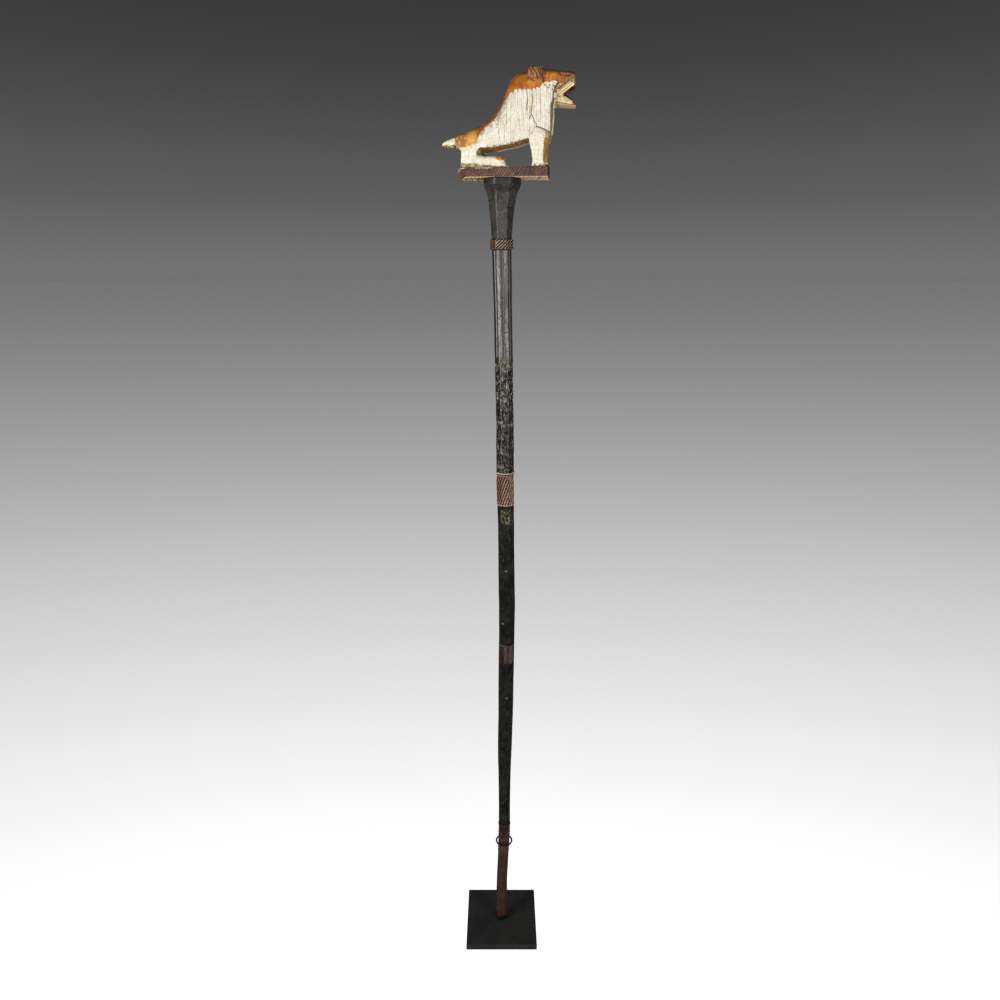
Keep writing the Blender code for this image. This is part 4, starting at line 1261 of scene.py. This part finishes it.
def cut_legs(skin):
    """Painted shade on the faces between the legs and on the ribbed throat, and the worn, notched front
    legs.
    """
    x, y, z = skin.x, skin.y, skin.z
    # painted shade on the inner faces between the legs
    inward = smooth_step(-skin.normal[:, 1] * np.sign(y), 0.2, 0.6)
    between = smooth_step(26 - abs(y), 5, 9) * span(z, 1, 4, 44, 48) * span(x, -64, -60, 72, 76)
    skin.mark(between * inward, dull=0.8, brown=0.5)
    skin.mark(skin.ahead * span(x, -40, -36, -28, -24) * smooth_step(z, 14, 18), moss=1)

    breast = smooth_step(skin.normal[:, 0], 0.25, 0.6) * smooth_step(x, 58, 61)
    throat = breast * span(z, 44, 48, 92, 100) * smooth_step(x, 80, 78.6)
    ribs = ripple(y / RIB_PITCH) ** 1.5
    skin.depth += 0.9 * throat * ribs
    # painted shade on the chest's front, deeper in its rib grooves and towards its sides
    skin.mark(throat * (0.30 + 0.5 * ribs + 0.4 * smooth_step(abs(y), 15, 20)), dull=1)
    skin.mark(breast * span(z, 4, 7, 45, 49), brown=1)
    skin.mark(breast * near(abs(y) - SHIN_LINE, 1.1) * span(z, 4, 7, 38, 44), cut=0.6)
    skin.mark(smooth_step(x, 65.4, 66.4) * span(z, 4, 7, 47, 50) * skin.outer, brown=0.62)
    notch = ripple(z / NOTCH_PITCH) * near(x - NOTCH_LINE, 1.1) * span(z, 5, 8, 42, 46)
    skin.mark(notch * skin.outer, cut=0.8)


def cut_tail(skin):
    """A ring where the white tip begins, dark nicks beside it, and rusty and worn lacquer ahead."""
    x, z = skin.x, skin.z
    ring = near(x - TAIL_RING, 0.8) * smooth_step(z, 46.8, 45)
    skin.depth += 0.6 * ring
    skin.mark(ring, cut=0.5)
    for nick in TAIL_NICKS:
        skin.mark(skin.spot(*nick), cut=1)
    rim = smooth_step(z - np.interp(x, *TAIL_RIM), -0.8, 0.6)
    skin.mark(smooth_step(x, -71.2, -72.2) * (1 - 0.9 * rim), white=1)
    skin.mark(skin.spot(*TAIL_SMEAR), brown=0.62)
    skin.mark(smooth_step(np.hypot((x + 58.4) / 6, (z - 40) / 5), 1.3, 0.3), rust=0.62)
    blots = np.clip(0.5 + 1.6 * waves(skin.place, 0.22, 9), 0, 1)
    skin.mark((0.25 + 0.6 * blots) * span(x, -71.4, -70.6, -62, -34), rust=1)
    skin.mark(span(x, -71.4, -70.6, -63, -58), worn=0.4)


def carve(lion):
    """Makes all the cuts in the even skin, and stores where each finish lies."""
    mesh = lion.data
    skin = Skin(mesh)
    for cut in (cut_mane, cut_head, cut_lip, cut_jaw, cut_belly, cut_legs, cut_feet, cut_tail):
        cut(skin)
    skin.depth += 0.42 * waves(skin.place, 0.09, 4) + 0.16 * waves(skin.place, 0.4, 5)
    # painted shade: lacquer on faces turned upwards made dusky
    top_shade = smooth_step(skin.normal[:, 2], 0.5, 0.95) * smooth_step(skin.paint["border"], 2, -2)
    rump = smooth_step(skin.x, -24, -50) * smooth_step(skin.z, 60, 50)
    skin.mark(top_shade, dusky=0.75)
    skin.mark(rump * (1 - 0.6 * top_shade), amber=1)

    place = skin.place - skin.normal * skin.depth[:, None]
    place[:, 2] += SEAT
    turn = np.array(Matrix.Rotation(FINIAL_TURN, 3, "Z"))
    mesh.vertices.foreach_set("co", ((place @ turn.T) * MM).astype(np.float32).ravel())
    for name, values in skin.paint.items():
        layer = mesh.attributes.new(name, "FLOAT", "POINT")
        layer.data.foreach_set("value", values.astype(np.float32))


def lion_piece(finish):
    lion = hollowed_lion()
    carve(lion)
    lion.data.materials.clear()
    lion.data.materials.append(finish)
    lion.data.shade_smooth()
    return lion


# --- the stand --------------------------------------------------------------------------------
def ring_piece(finish):
    """A thin round wire ring in the place of the frame's."""
    middle = 0.5 * (RING_LOW + RING_HIGH)
    wire = 0.5 * (RING_HIGH.z - RING_LOW.z)
    reach = 0.5 * (RING_HIGH.x - RING_LOW.x) - wire
    t = Shape("wire_ring", {"Reach": reach, "Wire": wire, "Steps": 120, "Sides": 16})
    path = t.add("GeometryNodeCurvePrimitiveCircle", {"mode": "RADIUS"},
                 {"Resolution": t.input("Steps"), "Radius": t.input("Reach")}, "Curve")
    section = t.add("GeometryNodeCurvePrimitiveCircle", {"mode": "RADIUS"},
                    {"Resolution": t.input("Sides"), "Radius": t.input("Wire")}, "Curve")
    tube = t.add("GeometryNodeCurveToMesh", None, {"Curve": path, "Profile Curve": section})
    placed = t.add("GeometryNodeTransform", None, {"Geometry": tube, "Translation": tuple(middle)})
    return t.grow(placed, finish)


# --- studio, metres ---------------------------------------------------------------------------
FLOOR_RADIUS = 90
# The floor's own light: near value, far value, how far the pool reaches and how fast it falls,
# how far its middle lies behind the object's, and how much longer it is along X.
GLOW_NEAR = 1.089
GLOW_FAR = 0.1683
GLOW_REACH = 1.5
GLOW_FALL = 1.3
POOL_SHIFT = 0.35
POOL_STRETCH = 0.45
# The air: how far up a direction points, and its grey.
AIR = [
    (0.40, 0.030), (0.2823, 0.0395), (0.2368, 0.0497), (0.1874, 0.0648), (0.0802, 0.1119),
    (0.0, 0.173), (-0.2, 0.06),
]
# Lamps: name, azimuth from +X in degrees, height, distance, width and length, watts, and whether
# shiny pieces mirror them.
LAMPS = [
    ("left front", -140, 1.35, 1.9, (0.8, 1.8), 33, True),
    ("right front", -50, 1.35, 1.9, (0.8, 1.8), 19, True),
    ("middle front", -90, 1.35, 2.4, (0.5, 1.6), 12, True),
    ("back left", 125, 1.6, 3.0, (1.6, 1.6), 30, False),
    ("back right", 35, 1.6, 3.0, (1.6, 1.6), 30, False),
]
LAMP_AIM = Vector((0, 0, 0.95))
CAMERA_PLACE = (-0.0033, -1.259, 1.314)
CAMERA_TILT = math.radians(90 - 17.1)
LENS, SENSOR = 27.18, 36  # mm


def studio_floor():
    """A floor that glows as a painted pool of light, white round the object and greyer far away."""
    bpy.ops.mesh.primitive_circle_add(vertices=96, radius=FLOOR_RADIUS, fill_type="NGON")
    floor = bpy.context.object
    floor.name = "studio_floor"
    material = bpy.data.materials.new("glowing floor")
    material.use_nodes = True
    t = Tree(material.node_tree)
    at = t.add("ShaderNodeTexCoord", output="Object")
    shifted = t.vector("ADD", at, (0.0, POOL_SHIFT, 0.0))
    pool = t.vector("MULTIPLY", shifted, (POOL_STRETCH, 1.0, 1.0))
    distance = t.vector("LENGTH", pool, (0, 0, 0)).output("Value")
    glow = GLOW_FAR + GLOW_NEAR / (1 + (distance / GLOW_REACH) ** GLOW_FALL)
    matt = t.add("ShaderNodeBsdfDiffuse", None, {"Color": (0.02, 0.02, 0.02, 1)})
    light = t.add("ShaderNodeEmission", None, {"Color": (1, 1, 1, 1), "Strength": glow})
    both = t.add("ShaderNodeAddShader", None, {0: matt, 1: light})
    end = material.node_tree.nodes["Material Output"]
    material.node_tree.links.new(both.socket, end.inputs["Surface"])
    floor.data.materials.append(material)
    floor.visible_glossy = False


def studio_air():
    """Dim grey air that darkens upwards from the horizon."""
    world = bpy.data.worlds.new("studio air")
    bpy.context.scene.world = world
    world.use_nodes = True
    t = Tree(world.node_tree)
    _, _, up = t.parts(t.add("ShaderNodeTexCoord", output="Generated"))
    shade = t.profile(up, AIR)
    background = world.node_tree.nodes["Background"]
    world.node_tree.links.new(t.combine(shade, shade, shade).socket, background.inputs["Color"])


def studio_lamp(name, azimuth, height, distance, size, power, mirrored):
    """A tall soft lamp, aimed at the middle of the object's upper half."""
    data = bpy.data.lights.new(name, "AREA")
    data.shape = "RECTANGLE"
    data.size, data.size_y = size
    data.energy = power
    lamp = new_object(name, data)
    angle = math.radians(azimuth)
    lamp.location = (distance * math.cos(angle), distance * math.sin(angle), height)
    lamp.rotation_euler = (LAMP_AIM - lamp.location).to_track_quat("-Z", "Y").to_euler()
    lamp.visible_camera = False
    lamp.visible_glossy = mirrored


def studio_camera():
    data = bpy.data.cameras.new("camera")
    data.lens = LENS
    data.sensor_width = SENSOR
    camera = new_object("camera", data)
    camera.location = CAMERA_PLACE
    camera.rotation_euler = (CAMERA_TILT, 0, 0)
    bpy.context.scene.camera = camera


# --- assembly ---------------------------------------------------------------------------------
def main():
    bpy.context.scene.view_settings.view_transform = "Standard"
    wood = blackened_wood()
    steel = black_steel()

    lion = lion_piece(leaf_and_lacquer())
    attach(lion, "root")
    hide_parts("lion_finial")

    base = base_piece(hatched_wood())
    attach(base, "root")

    staff = staff_piece(wood)
    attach(staff, "root")
    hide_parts("staff_shaft")

    ring = ring_piece(black_wire())
    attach(ring, "root")
    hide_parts("stand_ring")

    for name in ("stand_plate", "stand_rod"):
        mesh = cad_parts[name].data
        mesh.materials.clear()
        mesh.materials.append(steel)

    studio_floor()
    studio_air()
    for lamp in LAMPS:
        studio_lamp(*lamp)
    studio_camera()


main()
